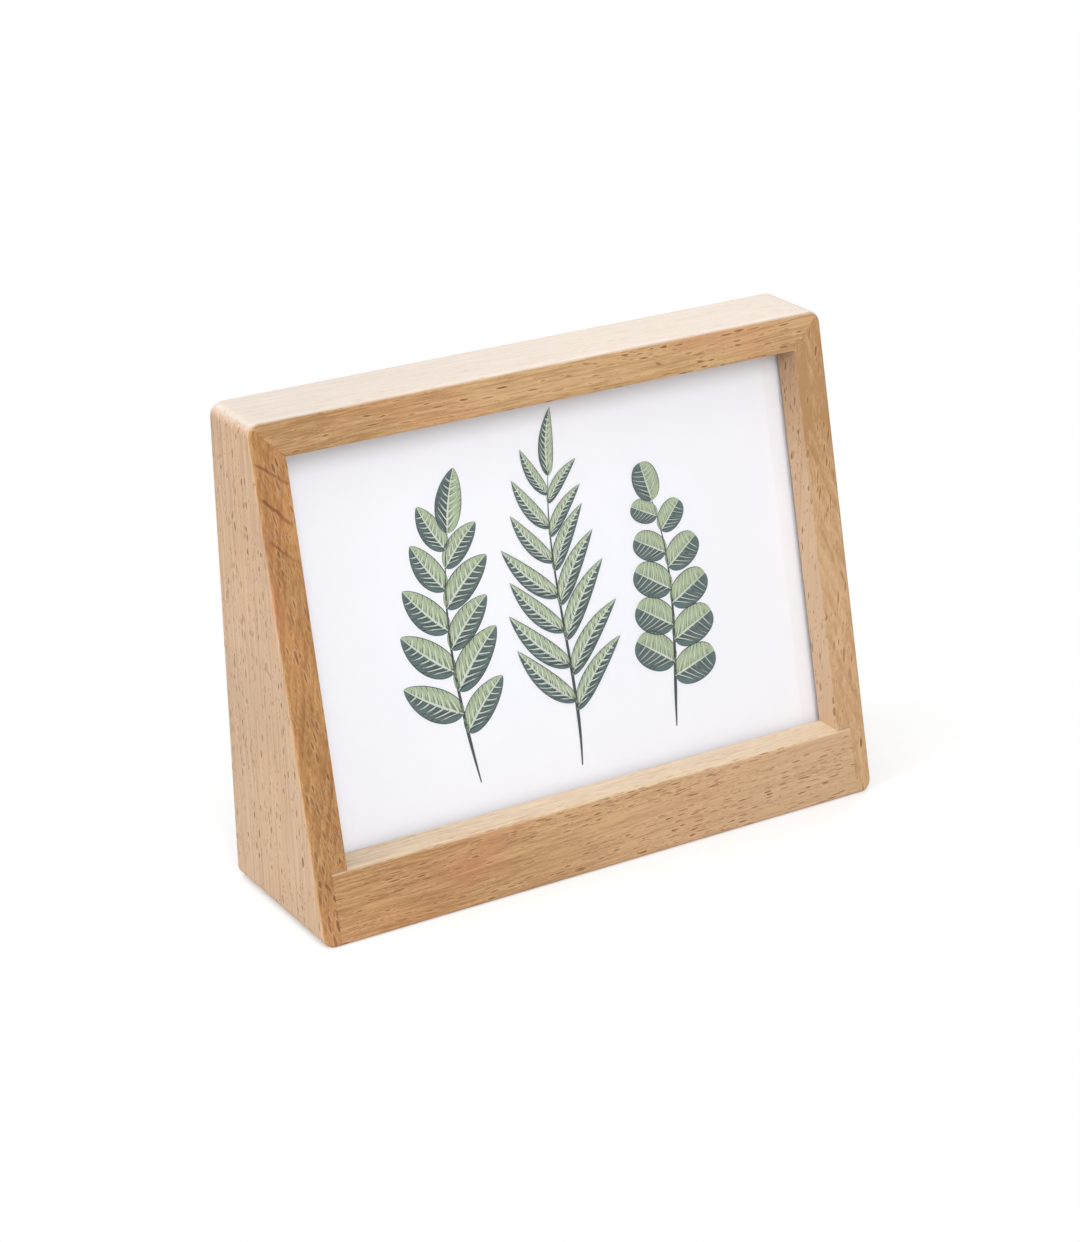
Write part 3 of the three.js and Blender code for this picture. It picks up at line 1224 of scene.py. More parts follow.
    def side_finishes(self) -> tuple[Beech, Beech]:
        """Chooses the wood of the two side boards.

        Returns:
            The finishes of the left and of the right board.
        """
        half, middle = self.sizes.width / 2, self.sizes.height / 2
        left = Beech(
            "beech_left",
            Grain.UP,
            middle=(-half, 0, middle),
            pith=(46, -52),
            runout=(2.0, 1.2),
            pale=tint(185, 139, 84),
            deep=tint(130, 81, 32),
            ring=1.5,
            flecks=0.85,
            seed=1.3,
            contrast=1.8,
            wave=0.25,
            drift=Drift(92.0, 118.0, 0.0, 0.08),
            marks=(
                Mark((-94.4, 135.4), (-84.4, 127.8), 0.7, 0.75, 0.6),
                Mark((-93.8, 126.0), (-85.4, 116.8), 0.8, 0.95, 0.6),
                Mark((-93.2, 114.2), (-86.2, 107.2), 0.65, 0.7, 0.6),
                Mark((-92.2, 19.0), (-90.1, 14.9), 0.65, 0.85, 0.2),
            ),
        )
        right = Beech(
            "beech_right",
            Grain.UP,
            middle=(half, 0, middle),
            pith=(-46, -54),
            runout=(-1.5, 0.8),
            pale=tint(203, 166, 126),
            deep=tint(168, 126, 81),
            ring=1.8,
            flecks=0.3,
            seed=4.1,
            # Painted sheen on the sideways faces, set darker here than on the left board as painted
            # shade on the inner face of the lip.
            side_sheen=tint(195, 166, 136),
            contrast=1.7,
            wave=0.25,
            drift=Drift(84.0, 124.0, -0.12, 0.26),
            marks=(
                Mark((92.3, 68.6), (93.3, 64.2), 0.6, 0.6, 0.2),
                Mark((87.0, 82.0), (90.5, 71.0), 0.9, 0.3),
            ),
        )
        return left, right

    def cross_finishes(self) -> tuple[Beech, Beech, Beech]:
        """Chooses the wood of the pieces that run across.

        Returns:
            The finishes of the top board, of the rail and of the tongues.
        """
        height = self.sizes.height
        top = Beech(
            "beech_top",
            Grain.ACROSS,
            middle=(0, 0, height),
            pith=(-40, 55),
            runout=(0.8, 1.0),
            pale=tint(196, 159, 114),
            deep=tint(152, 111, 66),
            ring=1.7,
            flecks=0.42,
            seed=7.7,
            contrast=3.3,
            drift=Drift(-92.0, 45.0, 0.5, -0.3),
            marks=(
                Mark((35.8, 140.2), (38.2, 139.4), 0.55, 0.8, 0.1),
                Mark((50.0, 138.2), (52.6, 138.0), 0.6, 0.9, 0.1),
                Mark((63.8, 140.7), (66.2, 140.3), 0.5, 0.75, 0.1),
                Mark((11.4, 144.2), (14.6, 143.6), 0.5, 0.6, 0.1),
                Mark((5.4, 141.8), (7.9, 141.4), 0.45, 0.6, 0.1),
            ),
        )
        rail = Beech(
            "beech_rail",
            Grain.ACROSS,
            middle=(0, -0.01, 0.01),
            pith=(30, 62),
            runout=(-0.7, 1.4),
            pale=tint(195, 153, 105),
            deep=tint(150, 105, 57),
            fleck=tint(118, 70, 20),
            ring=1.9,
            flecks=0.62,
            seed=2.9,
            fading=(0.0, 0.45),
            # The ledge's painted top sheen is paler and stronger than on the other boards, standing in
            # for light that the ledge lacks.
            upper=tint(228, 214, 190),
            top_sheen_share=0.54,
            contrast=3.6,
            drift=Drift(-90.0, 70.0, 0.12, -0.25),
        )
        tongue = Beech(
            "beech_tongue",
            Grain.ACROSS,
            middle=(0, 0, height),
            pith=(44, 30),
            runout=(0, 0),
            pale=tint(200, 156, 108),
            deep=tint(164, 116, 70),
        )
        return top, rail, tongue

    def build(self) -> None:
        """Makes the four boards, each from its own piece of the tree, and dresses the tongues."""
        left = self.left_side()
        right = mirrored(left, "right_side_board")
        left_wood, right_wood = self.side_finishes()
        top_wood, rail_wood, tongue_wood = self.cross_finishes()
        for piece, node, finish in (
            (left, "left_side", left_wood),
            (right, "right_side", right_wood),
            (self.top(), "top_board", top_wood),
            (self.rail(), "bottom_rail", rail_wood),
        ):
            polish(piece)
            dress(piece, finish.material())
            seat(piece, "frame", "beech", node)
        tongue = tongue_wood.material()
        for node in ("left_mitre_tongue", "right_mitre_tongue"):
            dress_solid(node, tongue)


@dataclass(frozen=True)
class Steel:
    """Zinc-plated steel, rubbed in one direction.

    Attributes:
        name: of the material.
        shine: its roughness.
        rub: how the rubbing stretches over X, Y and Z.
        light: colour of the brighter zinc.
        dull: colour of the duller zinc.
    """

    name: str
    shine: float
    rub: Triple
    light: Colour = tint(196, 198, 198)
    dull: Colour = tint(172, 173, 170)

    def material(self) -> bpy.types.Material:
        """Mixes the finish.

        Returns:
            The material.
        """
        recipe = Recipe(self.name)
        place = recipe.place()
        scratches = recipe.noise(recipe.stretch(place, self.rub), 1.0, 4.0, 0.6)
        cloud = recipe.noise(place, 260.0, 3.0, 0.6)
        rough = scratches.scaled(0.22, self.shine - 0.06)
        return recipe.surface(
            {
                "Base Color": recipe.blend(cloud, self.light, self.dull),
                "Metallic": 1.0,
                "Roughness": cloud.scaled(0.12, rough),
                "Normal": recipe.relief(scratches, 0.2, 0.02 * MM),
            }
        )


@dataclass
class TurnClips:
    """The four turn clips and the rivets that they turn on.

    Attributes:
        sizes: the frame's sizes.
        rows: how far up the slope the lower and the upper rivets are.
        across: how far a rivet is from the frame's middle.
        depth: of a clip's front face behind the front face of the frame.
        thickness: of a clip.
        reach: from the rivet to the tip.
        heel: half the width at the rivet.
        tip: half the width at the tip.
        heel_corner: radius of a corner behind the rivet.
        tip_corner: radius of a corner at the tip.
        clip_arris: width of the rounding round a clip's flat faces.
        bore: radius of the hole.
        shank: radius of the rivet's shank.
        foot_depth: where the rivet's foot meets its shank, behind the front face of the frame.
        head_depth: where its head meets its shank.
        foot: radius of its foot.
        foot_height: of its foot.
        head: radius of its head.
        head_height: of the head's upright rim.
        crown_height: of the dome over the rim.
        crown_rings: how many steps the dome has.
        head_arris: width of the rounding round the head.
    """

    sizes: Sizes
    rows: Pair = (48.5875 * MM, 115.5875 * MM)
    across: float = 80.0 * MM
    depth: float = 17.4 * MM
    thickness: float = 0.8 * MM
    reach: float = 11.0 * MM
    heel: float = 4.0 * MM
    tip: float = 2.7 * MM
    heel_corner: float = 3.7 * MM
    tip_corner: float = 1.5 * MM
    clip_arris: float = 0.16 * MM
    bore: float = 1.6 * MM
    shank: float = 1.5 * MM
    foot_depth: float = 15.3 * MM
    head_depth: float = 18.5 * MM
    foot: float = 2.5 * MM
    foot_height: float = 0.9 * MM
    head: float = 3.2 * MM
    head_height: float = 0.55 * MM
    crown_height: float = 0.45 * MM
    crown_rings: int = 6
    head_arris: float = 0.2 * MM

    def clip(self) -> Piece:
        """Makes a clip about its own rivet in the layers' axes, tip towards +X.

        Returns:
            The clip.
        """
        at_tip = at_level(0, self.reach)
        flat = at_level(1, 0.0, self.thickness)
        piece = block("clip", (-self.heel, 0, -self.heel), (self.reach, self.thickness, self.heel))
        with editing(piece):
            pick_faces(piece, lambda middle, _: at_tip(middle))
            bpy.ops.transform.resize(value=(1, 1, self.tip / self.heel), center_override=(0, 0, 0))
        round_edges(piece, lambda a, b: runs_along_y(a, b) and a.x < 0, self.heel_corner, 9)
        round_edges(piece, lambda a, b: runs_along_y(a, b) and at_tip(a), self.tip_corner, 6)
        cylinder, lying = bpy.ops.mesh.primitive_cylinder_add, (math.pi / 2, 0, 0)
        deep = 4 * self.thickness
        bore = added("bore", cylinder, vertices=40, radius=self.bore, depth=deep, rotation=lying)
        combine(piece, bore)

        def round_a_face(a: Vector, b: Vector) -> bool:
            """Whether an edge lies in one of the two flat faces."""
            return flat(a) and flat(b) and abs(a.y - b.y) < TOUCHING

        round_edges(piece, round_a_face, self.clip_arris, 3)
        return piece

    def flange(self, level: float, radius: float, height: float) -> None:
        """Draws the picked end of the shank out to a flange, along Z.

        Args:
            level: of the end.
            radius: of the flange.
            height: of the flange, less than 0 if it goes down.
        """
        widening = radius / self.shank
        bpy.ops.mesh.extrude_region_move()
        bpy.ops.transform.resize(value=(widening, widening, 1), center_override=(0, 0, level))
        bpy.ops.mesh.extrude_region_move(TRANSFORM_OT_translate={"value": (0, 0, height)})

    def rivet(self) -> Piece:
        """Makes a rivet about its own axis: foot, shank and domed head, the head towards +Z.

        Returns:
            The rivet.
        """
        long, middle = self.head_depth - self.foot_depth, (self.head_depth + self.foot_depth) / 2
        cylinder, place = bpy.ops.mesh.primitive_cylinder_add, (0, 0, middle)
        piece = added("rivet", cylinder, vertices=48, radius=self.shank, depth=long, location=place)
        bpy.ops.object.transform_apply(location=True, rotation=True, scale=True)
        crown = (self.head**2 + self.crown_height**2) / (2 * self.crown_height)
        with editing(piece):
            pick_faces(piece, lambda middle, normal: normal.z > 0.9)
            self.flange(self.head_depth, self.head, self.head_height)
            climbed = 0.0
            for ring in range(1, self.crown_rings):
                radius = self.head * (1 - ring / self.crown_rings)
                rise = math.sqrt(crown**2 - radius**2) - (crown - self.crown_height) - climbed
                bpy.ops.mesh.inset(thickness=self.head / self.crown_rings, depth=rise)
                climbed += rise
            bpy.ops.mesh.select_all(action="DESELECT")
            at_foot = at_level(2, self.foot_depth)
            pick_faces(piece, lambda middle, normal: normal.z < -0.9 and at_foot(middle))
            self.flange(self.foot_depth, self.foot, -self.foot_height)
        at_rim = at_level(2, self.head_depth + self.head_height)

        def round_the_head(place: Vector) -> bool:
            """Whether a place is on the upper edge of the head's rim."""
            return at_rim(place) and place.xy.length > self.head - TOUCHING

        round_edges(piece, both(round_the_head), self.head_arris, 3)
        return piece

    def build(self) -> None:
        """Sets a clip and a rivet at each of the four places."""
        clip, rivet = self.clip(), self.rivet()
        clip_steel = Steel("clip_steel", 0.34, (180.0, 2200.0, 2200.0)).material()
        rivet_steel = Steel("rivet_steel", 0.28, (900.0, 900.0, 900.0)).material()
        upright = Matrix.Rotation(-math.pi / 2, 4, "X")
        deep = Matrix.Translation((0, self.depth, 0))
        for row, up in zip(("lower", "upper"), self.rows):
            for side, across in (("left", -self.across), ("right", self.across)):
                place = f"{row}_{side}"
                spot = self.sizes.layers @ Matrix.Translation((across, 0, up))
                turn = Matrix.Rotation(math.pi if across < 0 else 0.0, 4, "Y")
                plate = twin(clip, f"{place}_clip_plate")
                settle(plate, spot @ deep @ turn)
                pin = twin(rivet, f"{place}_rivet_pin")
                settle(pin, spot @ upright)
                for piece, body, finish, slot, node in (
                    (plate, f"{place}_clip", clip_steel, "clip_steel", f"{place}_clip"),
                    (pin, "frame", rivet_steel, "rivet_steel", f"{place}_rivet"),
                ):
                    polish(piece, 40)
                    dress(piece, finish)
                    seat(piece, body, slot, node)
        bpy.data.objects.remove(clip)
        bpy.data.objects.remove(rivet)


@dataclass(frozen=True)
class Paper:
    """Smooth white paper with the faintest tooth.

    Attributes:
        name: of the material.
        bright: its whitest colour.
        soft: its least white one.
    """

    name: str = "print_paper"
    bright: Colour = tint(243, 243, 249)
    soft: Colour = tint(240, 241, 247)

    def material(self) -> bpy.types.Material:
        """Mixes the finish.

        Returns:
            The material.
        """
        recipe = Recipe(self.name)
        place = recipe.place()
        tooth = recipe.noise(place, 2600.0, 3.0, 0.6)
        return recipe.surface(
            {
                "Base Color": recipe.blend(recipe.noise(place, 40.0), self.bright, self.soft),
                "Roughness": tooth.scaled(0.1, 0.82),
                "Normal": recipe.relief(tooth, 0.08, 0.01 * MM),
            }
        )


@dataclass(frozen=True)
class Ink:
    """Matt printing ink, a little uneven where it has soaked in.

    Attributes:
        name: of the material.
        full: its colour where it lies thick.
        thin: its colour where the paper shows through.
    """

    name: str
    full: Colour
    thin: Colour

    def material(self) -> bpy.types.Material:
        """Mixes the finish.

        Returns:
            The material.
        """
        recipe = Recipe(self.name)
        place = recipe.place()
        wash = recipe.noise(place, 130.0, 3.0, 0.6)
        grit = recipe.noise(place, 3200.0)
        share = (grit - 0.5).scaled(0.5, wash, clamp=True)
        colour = recipe.blend(share, self.full, self.thin)
        return recipe.surface({"Base Color": colour, "Roughness": wash.scaled(0.1, 0.72)})


@dataclass(frozen=True)
class ClearSheet:
    """Clear glazing: what is behind it shows, with a faint gloss on top.

    Attributes:
        name: of the material.
        clear: share of the light that it lets through, as a colour.
        index: of refraction.
    """

    name: str = "clear_sheet"
    clear: Colour = (0.99, 0.99, 0.99, 1.0)
    index: float = 1.5

    def material(self) -> bpy.types.Material:
        """Mixes the finish.

        Returns:
            The material.
        """
        recipe = Recipe(self.name)
        edge = Signal(recipe, recipe.add("Fresnel", {"IOR": self.index}).outputs[0])
        smear = recipe.noise(recipe.place(), 24.0, 3.0, 0.6).step(0.2, 0.8, 0.9, 1.1)
        inside = Signal(recipe, recipe.add("NewGeometry").outputs["Backfacing"])
        share = recipe.math("MULTIPLY", edge * smear, inside.scaled(-1.0, 1.0), clamp=True)
        clear = recipe.add("BsdfTransparent", {"Color": self.clear}).outputs[0]
        gloss = recipe.add("BsdfGlossy", {"Color": (1, 1, 1, 1), "Roughness": 0.03}).outputs[0]
        recipe.mix(share, clear, gloss)
        return recipe.material


@dataclass(frozen=True)
class Board:
    """Pressed board of wood or paper fibre.

    Attributes:
        name: of the material.
        ground: its main colour.
        light: colour of the pale fibres.
        dark: colour of the dark fibres.
        rough: its roughness.
        fibre: length of the fibres over their width.
        fine: how thin the fibres are, per metre.
    """

    name: str
    ground: Colour
    light: Colour
    dark: Colour
    rough: float
    fibre: float
    fine: float = 1100.0

    def material(self) -> bpy.types.Material:
        """Mixes the finish.

        Returns:
            The material.
        """
        recipe = Recipe(self.name)
        place = recipe.place()
        swirl = recipe.swirl(place, 90.0)
        bent = recipe.arrows("MULTIPLY_ADD", swirl, (12 * MM,) * 3, place)
        grain = (self.fine / self.fibre, self.fine, self.fine)
        along = recipe.noise(recipe.stretch(bent, grain), 1.0, 3.0, 0.6)
        across = recipe.noise(recipe.stretch(bent, grain[::-1]), 1.0, 3.0, 0.6)
        cloud = recipe.noise(place, 45.0, 4.0, 0.6)
        pale = recipe.math("MAXIMUM", along, across).step(0.56, 0.74)
        deep = recipe.math("MINIMUM", along, across).step(0.42, 0.28)
        colour = recipe.blend(cloud * 0.5, self.ground, self.dark)
        colour = recipe.blend(pale * 0.42, colour, self.light)
        colour = recipe.blend(deep * 0.45, colour, self.dark)
        return recipe.surface(
            {
                "Base Color": colour,
                "Roughness": cloud.scaled(0.16, self.rough - 0.08),
                "Normal": recipe.relief(along, 0.25, 0.04 * MM),
            }
        )


class Shade(Enum):
    """The inks of the print, each with how far above the paper it lies in its own layer."""

    LIGHT = 0.000
    DARK = 0.001
    VEIN = 0.020
    LINE = 0.035


INKS = {
    Shade.LIGHT: Ink("ink_sage", tint(160, 175, 140), tint(170, 184, 150)),
    Shade.DARK: Ink("ink_slate", tint(68, 91, 90), tint(84, 107, 105)),
    Shade.VEIN: Ink("ink_pale", tint(198, 208, 192), tint(212, 219, 206)),
    Shade.LINE: Ink("ink_line", tint(32, 42, 44), tint(46, 57, 58)),
}


@dataclass(frozen=True)
class LeafKind:
    """One kind of leaf, drawn 1 long with its base at the origin and its tip along X.

    Attributes:
        half_width: at its widest.
        belly: where it is widest, from 0 at the base to 1 at the tip.
        fullness: low for a round leaf, high for a pointed one.
        bend: how far the midrib bows to the left.
        veins: side veins on each side.
        sweep: how far a vein runs up the leaf before it meets the edge.
        hatching: strokes on each side.
    """

    half_width: float
    belly: float
    fullness: float
    bend: float
    veins: int
    sweep: float
    hatching: int

    def edge(self, along: float) -> float:
        """Finds half the leaf's width.

        Args:
            along: where on the leaf, from 0 at the base to 1 at the tip.

        Returns:
            Half the width there.
        """
        along = min(max(along, 1e-4), 1 - 1e-4)
        before = (along / self.belly) ** (self.fullness * self.belly)
        after = ((1 - along) / (1 - self.belly)) ** (self.fullness * (1 - self.belly))
        return self.half_width * before * after

    def spot(self, along: float, across: float) -> Vector:
        """A place on the leaf, across from -1 at its right edge to 1 at its left one."""
        bow = 4 * self.bend * along * (1 - along)
        return Vector((along, bow + across * self.edge(along)))

    def vein(self, base: float, side: int, reach: float) -> Vector:
        """A place on the line that leaves the midrib at base, reach from 0 there to 1 at the edge."""
        along = base + self.sweep * (1 - base) * reach**1.2
        return self.spot(along, side * reach)


def eased(along: float) -> float:
    """Crowds the steps along a leaf at its two ends, where its outline turns most."""
    return 0.5 - 0.5 * math.cos(math.pi * along)


def strips(name: str, count: int, steps: int) -> Piece:
    """Adds a grid and drops every second row of its faces, which leaves separate strips.

    Args:
        name: of the new object.
        count: how many strips.
        steps: faces along each strip.

    Returns:
        The strips, one above the other, each running along X.
    """
    rows = 2 * count - 1
    grid = bpy.ops.mesh.primitive_grid_add
    piece = added(name, grid, x_subdivisions=steps, y_subdivisions=rows, size=1)
    with editing(piece):
        pick_faces(piece, lambda middle, _: int((middle.y + 0.5) * rows) % 2 == 1)
        bpy.ops.mesh.delete(type="FACE")
    return piece


def strokes(name: str, count: int, steps: int, line: Callable[[int, float], Edges]) -> Piece:
    """Draws flat strokes.

    Args:
        name: of the new object.
        count: how many strokes.
        steps: faces along each stroke.
        line: gives the right and left edge of a stroke, from its number and from 0 to 1 along it.

    Returns:
        The strokes, flat in XY and facing +Z.
    """
    piece = strips(name, count, steps)
    for vertex in piece.data.vertices:
        along = vertex.co.x + 0.5
        row = round((vertex.co.y + 0.5) * (2 * count - 1))
        vertex.co = (*line(row // 2, along)[row % 2], 0)
    return piece


def pen(path: Callable[[float], Vector], width: float, along: float) -> Edges:
    """Finds the two edges of a pen stroke that thins out towards its end.

    Args:
        path: the stroke's own line, from 0 to 1.
        width: at its thickest.
        along: where on the path.

    Returns:
        The right and the left edge.
    """
    ahead = path(min(along + 0.01, 1.0)) - path(max(along - 0.01, 0.0))
    left = Vector((-ahead.y, ahead.x)).normalized()
    half = width / 2 * (1 - 0.85 * along**1.5) * min(1.0, 0.35 + 4 * along)
    return path(along) - left * half, path(along) + left * half


@dataclass
class Leaf:
    """One leaf, 1 long: a light half and a dark half, veins, hatching and outline.

    Attributes:
        kind: of leaf.
        lit: True when the left half is the light one.
        chance: varies the hatching.
        vein_width: of a side vein at its thickest.
        midrib_width: of the midrib at its thickest.
    """

    kind: LeafKind
    lit: bool
    chance: random.Random
    vein_width: float = 0.020
    midrib_width: float = 0.042

    def band(self, name: str, side: int, inner: float, outer: float, tuck: float = 0.0) -> Piece:
        """Fills a band along one side, between two shares of the leaf's half width.

        Args:
            name: of the new object.
            side: -1 for the right and 1 for the left.
            inner: share where the band starts.
            outer: share where it ends.
            tuck: how far its inner edge is drawn in, which keeps it broad at the leaf's ends.

        Returns:
            The band.
        """

        def edges(_: int, along: float) -> Edges:
            """Finds the two edges of the band.

            Args:
                _: the number of the stroke, as there is only one.
                along: where on the leaf.

            Returns:
                The right and the left edge.
            """
            near, far = (self.kind.spot(eased(along), side * share) for share in (inner, outer))
            near.y -= side * tuck
            return (near, far) if side > 0 else (far, near)

        return strokes(name, 1, 30, edges)

    def veins(self, side: int) -> Piece:
        """Draws the veins on one side.

        Args:
            side: -1 for the right and 1 for the left.

        Returns:
            The veins.
        """
        count = self.kind.veins
        bases = [0.06 + 0.84 * (number / count) ** 0.95 for number in range(count)]

        def edges(number: int, along: float) -> Edges:
            """The two edges of a side vein."""
            return pen(lambda t: self.kind.vein(bases[number], side, 0.97 * t), self.vein_width, along)

        return strokes("leaf_veins", count, 6, edges)

    def hatching(self, side: int, heavy: bool) -> Piece:
        """Draws the hatching on one side: from the midrib outwards, and every third stroke inwards.

        Args:
            side: -1 for the right and 1 for the left.
            heavy: True for the dark half.

        Returns:
            The strokes.
        """
        count, chance = self.kind.hatching, self.chance
        lines = []
        for number in range(count):
            base = -0.02 + 0.94 * (number + chance.uniform(0.2, 0.8)) / count
            if number % 3 == 2:
                low, high = 0.98, chance.uniform(0.45, 0.75)
            else:
                low = chance.uniform(0.02, 0.08)
                high = chance.uniform(0.45, 0.92) if heavy else chance.uniform(0.2, 0.6)
            width = chance.uniform(0.010, 0.017) * (1.25 if heavy else 0.85)
            lines.append((max(base, 0.0), low, high, width))

        def edges(number: int, along: float) -> Edges:
            """The two edges of a stroke."""
            base, low, high, width = lines[number]
            return pen(lambda t: self.kind.vein(base, side, low + (high - low) * t), width, along)

        return strokes("leaf_hatching", count, 4, edges)

    def midrib(self) -> Piece:
        """Draws the midrib, from the stem to the tip.

        Returns:
            The midrib.
        """

        def edges(_: int, along: float) -> Edges:
            """The two edges of the midrib."""
            return pen(lambda t: self.kind.spot(t, 0), self.midrib_width, along)

        return strokes("leaf_midrib", 1, 14, edges)

    def drawn(self) -> dict[Shade, list[Piece]]:
        """Draws the whole leaf.

        Returns:
            The flat drawings for each ink.
        """
        found: dict[Shade, list[Piece]] = {shade: [] for shade in Shade}
        for side in (-1, 1):
            shade = Shade.LIGHT if (side > 0) == self.lit else Shade.DARK
            found[shade].append(self.band("leaf_half", side, 0.0, 1.0))
            found[Shade.VEIN].append(self.veins(side))
            found[Shade.LINE].append(self.hatching(side, shade is Shade.DARK))
            found[Shade.LINE].append(self.band("leaf_outline", side, 0.97, 1.01, tuck=0.004))
        found[Shade.VEIN].append(self.midrib())
        return found


@dataclass
class Sprig:
    """One sprig: a curved stem with leaves in pairs and one at its tip.

    Attributes:
        kind: of its leaves.
        stem: four points that steer the stem, in millimetres on the print.
        pairs: of leaves.
        lengths: of the lowest and the highest leaves, in millimetres.
        angles: between stem and leaf, lowest and highest, in degrees.
        stagger: how far the left leaves sit above the right ones, in pairs.
        first: where on the stem the lowest leaves are.
        level: of its layer of ink above the paper, in millimetres.
        last: where on the stem the highest pair is.
        stem_width: at its thickest, in millimetres.
    """

    kind: LeafKind
    stem: tuple[Pair, Pair, Pair, Pair]
    pairs: int
    lengths: Pair
    angles: Pair
    stagger: float
    first: float
    level: float
    last: float = 0.93
    stem_width: float = 1.1

    def on_stem(self, along: float) -> Vector:
        """Finds a place on the stem.

        Args:
            along: from 0 at its foot to 1 at its tip.

        Returns:
            The place.
        """
        a, b, c, d = (Vector(point) for point in self.stem)
        rest = 1 - along
        return a * rest**3 + 3 * b * rest**2 * along + 3 * c * rest * along**2 + d * along**3

    def placed(self, spot: Vector, heading: float, length: float) -> Matrix:
        """Finds the place of a leaf.

        Args:
            spot: of its base on the print.
            heading: of its midrib.
            length: of the leaf.

        Returns:
            What takes a leaf 1 long there.
        """
        move = Matrix.Translation((spot.x, spot.y, self.level))
        turn = Matrix.Rotation(heading, 4, "Z")
        return move @ turn @ Matrix.Diagonal((length, length, 1, 1))

    def leaves(self, chance: random.Random) -> Iterator[tuple[Matrix, bool]]:
        """Sets the leaves along the stem.

        Args:
            chance: varies their angles and lengths.

        Yields:
            Each leaf's place and whether its left half is the light one.
        """
        for number in range(self.pairs):
            for side in (-1, 1):
                raised = self.stagger if side > 0 else 0.0
                share = (number + raised) / (self.pairs - 1 + self.stagger)
                along = self.first + (self.last - self.first) * share
                ahead = self.on_stem(along + 0.02) - self.on_stem(along - 0.02)
                angle = self.angles[0] + (self.angles[1] - self.angles[0]) * share
                heading = math.atan2(ahead.y, ahead.x)
                heading += side * math.radians(angle + chance.uniform(-4, 4))
                swell = math.sin(math.pi * (0.22 + 0.6 * share))
                length = self.lengths[0] + (self.lengths[1] - self.lengths[0]) * share
                length *= (0.75 + 0.25 * swell) * chance.uniform(0.93, 1.07)
                yield self.placed(self.on_stem(along), heading, length), side < 0
        ahead = self.on_stem(1.0) - self.on_stem(0.96)
        heading = math.atan2(ahead.y, ahead.x)
        yield self.placed(self.on_stem(1.0), heading, self.lengths[1] * 1.1), False

    def drawn_stem(self) -> Piece:
        """Draws the stem on the print.

        Returns:
            The stem.
        """
        piece = strokes("stem", 1, 40, lambda _, along: pen(self.on_stem, self.stem_width, along))
        settle(piece, Matrix.Translation((0, 0, self.level)))
        return piece


OVAL = LeafKind(0.23, belly=0.42, fullness=1.25, bend=0.03, veins=7, sweep=0.34, hatching=24)
LANCE = LeafKind(0.125, belly=0.38, fullness=1.45, bend=0.05, veins=9, sweep=0.24, hatching=30)
COIN = LeafKind(0.37, belly=0.52, fullness=0.85, bend=0.0, veins=6, sweep=0.40, hatching=24)

SPRIGS = (
    Sprig(
        OVAL,
        stem=((-33, 32), (-37, 58), (-39, 84), (-33, 106)),
        pairs=5,
        lengths=(23, 17),
        angles=(50, 38),
        stagger=0.45,
        first=0.2,
        level=0.02,
    ),
    Sprig(
        COIN,
        stem=((35, 33), (37, 56), (42, 78), (36, 102)),
        pairs=5,
        lengths=(16.5, 11),
        angles=(62, 50),
        stagger=0.4,
        first=0.22,
        level=0.09,
    ),
    Sprig(
        LANCE,
        stem=((1, 29), (4, 58), (-3, 90), (2, 116)),
        pairs=7,
        lengths=(29, 18),
        angles=(46, 34),
        stagger=0.25,
        first=0.19,
        level=0.16,
    ),
)


def joined(name: str, parts: list[Piece]) -> Piece:
    """Joins parts into one piece.

    Args:
        name: of the piece.
        parts: what is joined.

    Returns:
        The piece.
    """
    bpy.ops.object.select_all(action="DESELECT")
    for part in parts:
        part.select_set(True)
    bpy.context.view_layer.objects.active = parts[0]
    if len(parts) > 1:
        bpy.ops.object.join()
    piece = bpy.context.active_object
    piece.name = piece.data.name = name
    return piece


@dataclass
class BotanicalPrint:
    """The generic print: three sprigs of plain leaves, engraved in greens on white paper.

    Attributes:
        sizes: the frame's sizes.
        depth: of the paper's front behind the front face of the frame.
        film: thickness of the ink, in millimetres.
        chance: varies the leaves and their hatching.
    """

    sizes: Sizes
    depth: float = 11.7 * MM
    film: float = 0.008
    chance: random.Random = field(default_factory=lambda: random.Random(11))

    def stamped(self, sprig: Sprig) -> dict[Shade, list[Piece]]:
        """Draws a sprig: each of its two kinds of leaf once, and a copy at every place.

        Args:
            sprig: what is drawn.

        Returns:
            The flat drawings for each ink, in millimetres on the print.
        """
        drawn: dict[Shade, list[Piece]] = {shade: [] for shade in Shade}
        stamps = {}
        for lit in (False, True):
            for shade, parts in Leaf(sprig.kind, lit, self.chance).drawn().items():
                stamps[lit, shade] = joined("stamp", parts)
        for place, lit in sprig.leaves(self.chance):
            for shade in Shade:
                copy = twin(stamps[lit, shade], "leaf")
                settle(copy, Matrix.Translation((0, 0, shade.value)) @ place)
                drawn[shade].append(copy)
        for stamp in stamps.values():
            bpy.data.objects.remove(stamp)
        drawn[Shade.LINE].append(sprig.drawn_stem())
        return drawn

    def build(self) -> None:
        """Prints the sprigs, one piece for each ink."""
        drawn: dict[Shade, list[Piece]] = {shade: [] for shade in Shade}
        for sprig in SPRIGS:
            for shade, parts in self.stamped(sprig).items():
                drawn[shade] += parts
        upright = Matrix.Rotation(math.pi / 2, 4, "X") @ Matrix.Scale(MM, 4)
        paper = self.sizes.layers @ Matrix.Translation((0, self.depth, 0)) @ upright
        for shade, parts in drawn.items():
            piece = joined(f"print_{INKS[shade].name}", parts)
            modify(piece, "SOLIDIFY", thickness=self.film)
            settle(piece, paper)
            dress(piece, INKS[shade].material())
            seat(piece, "frame", "print_paper")


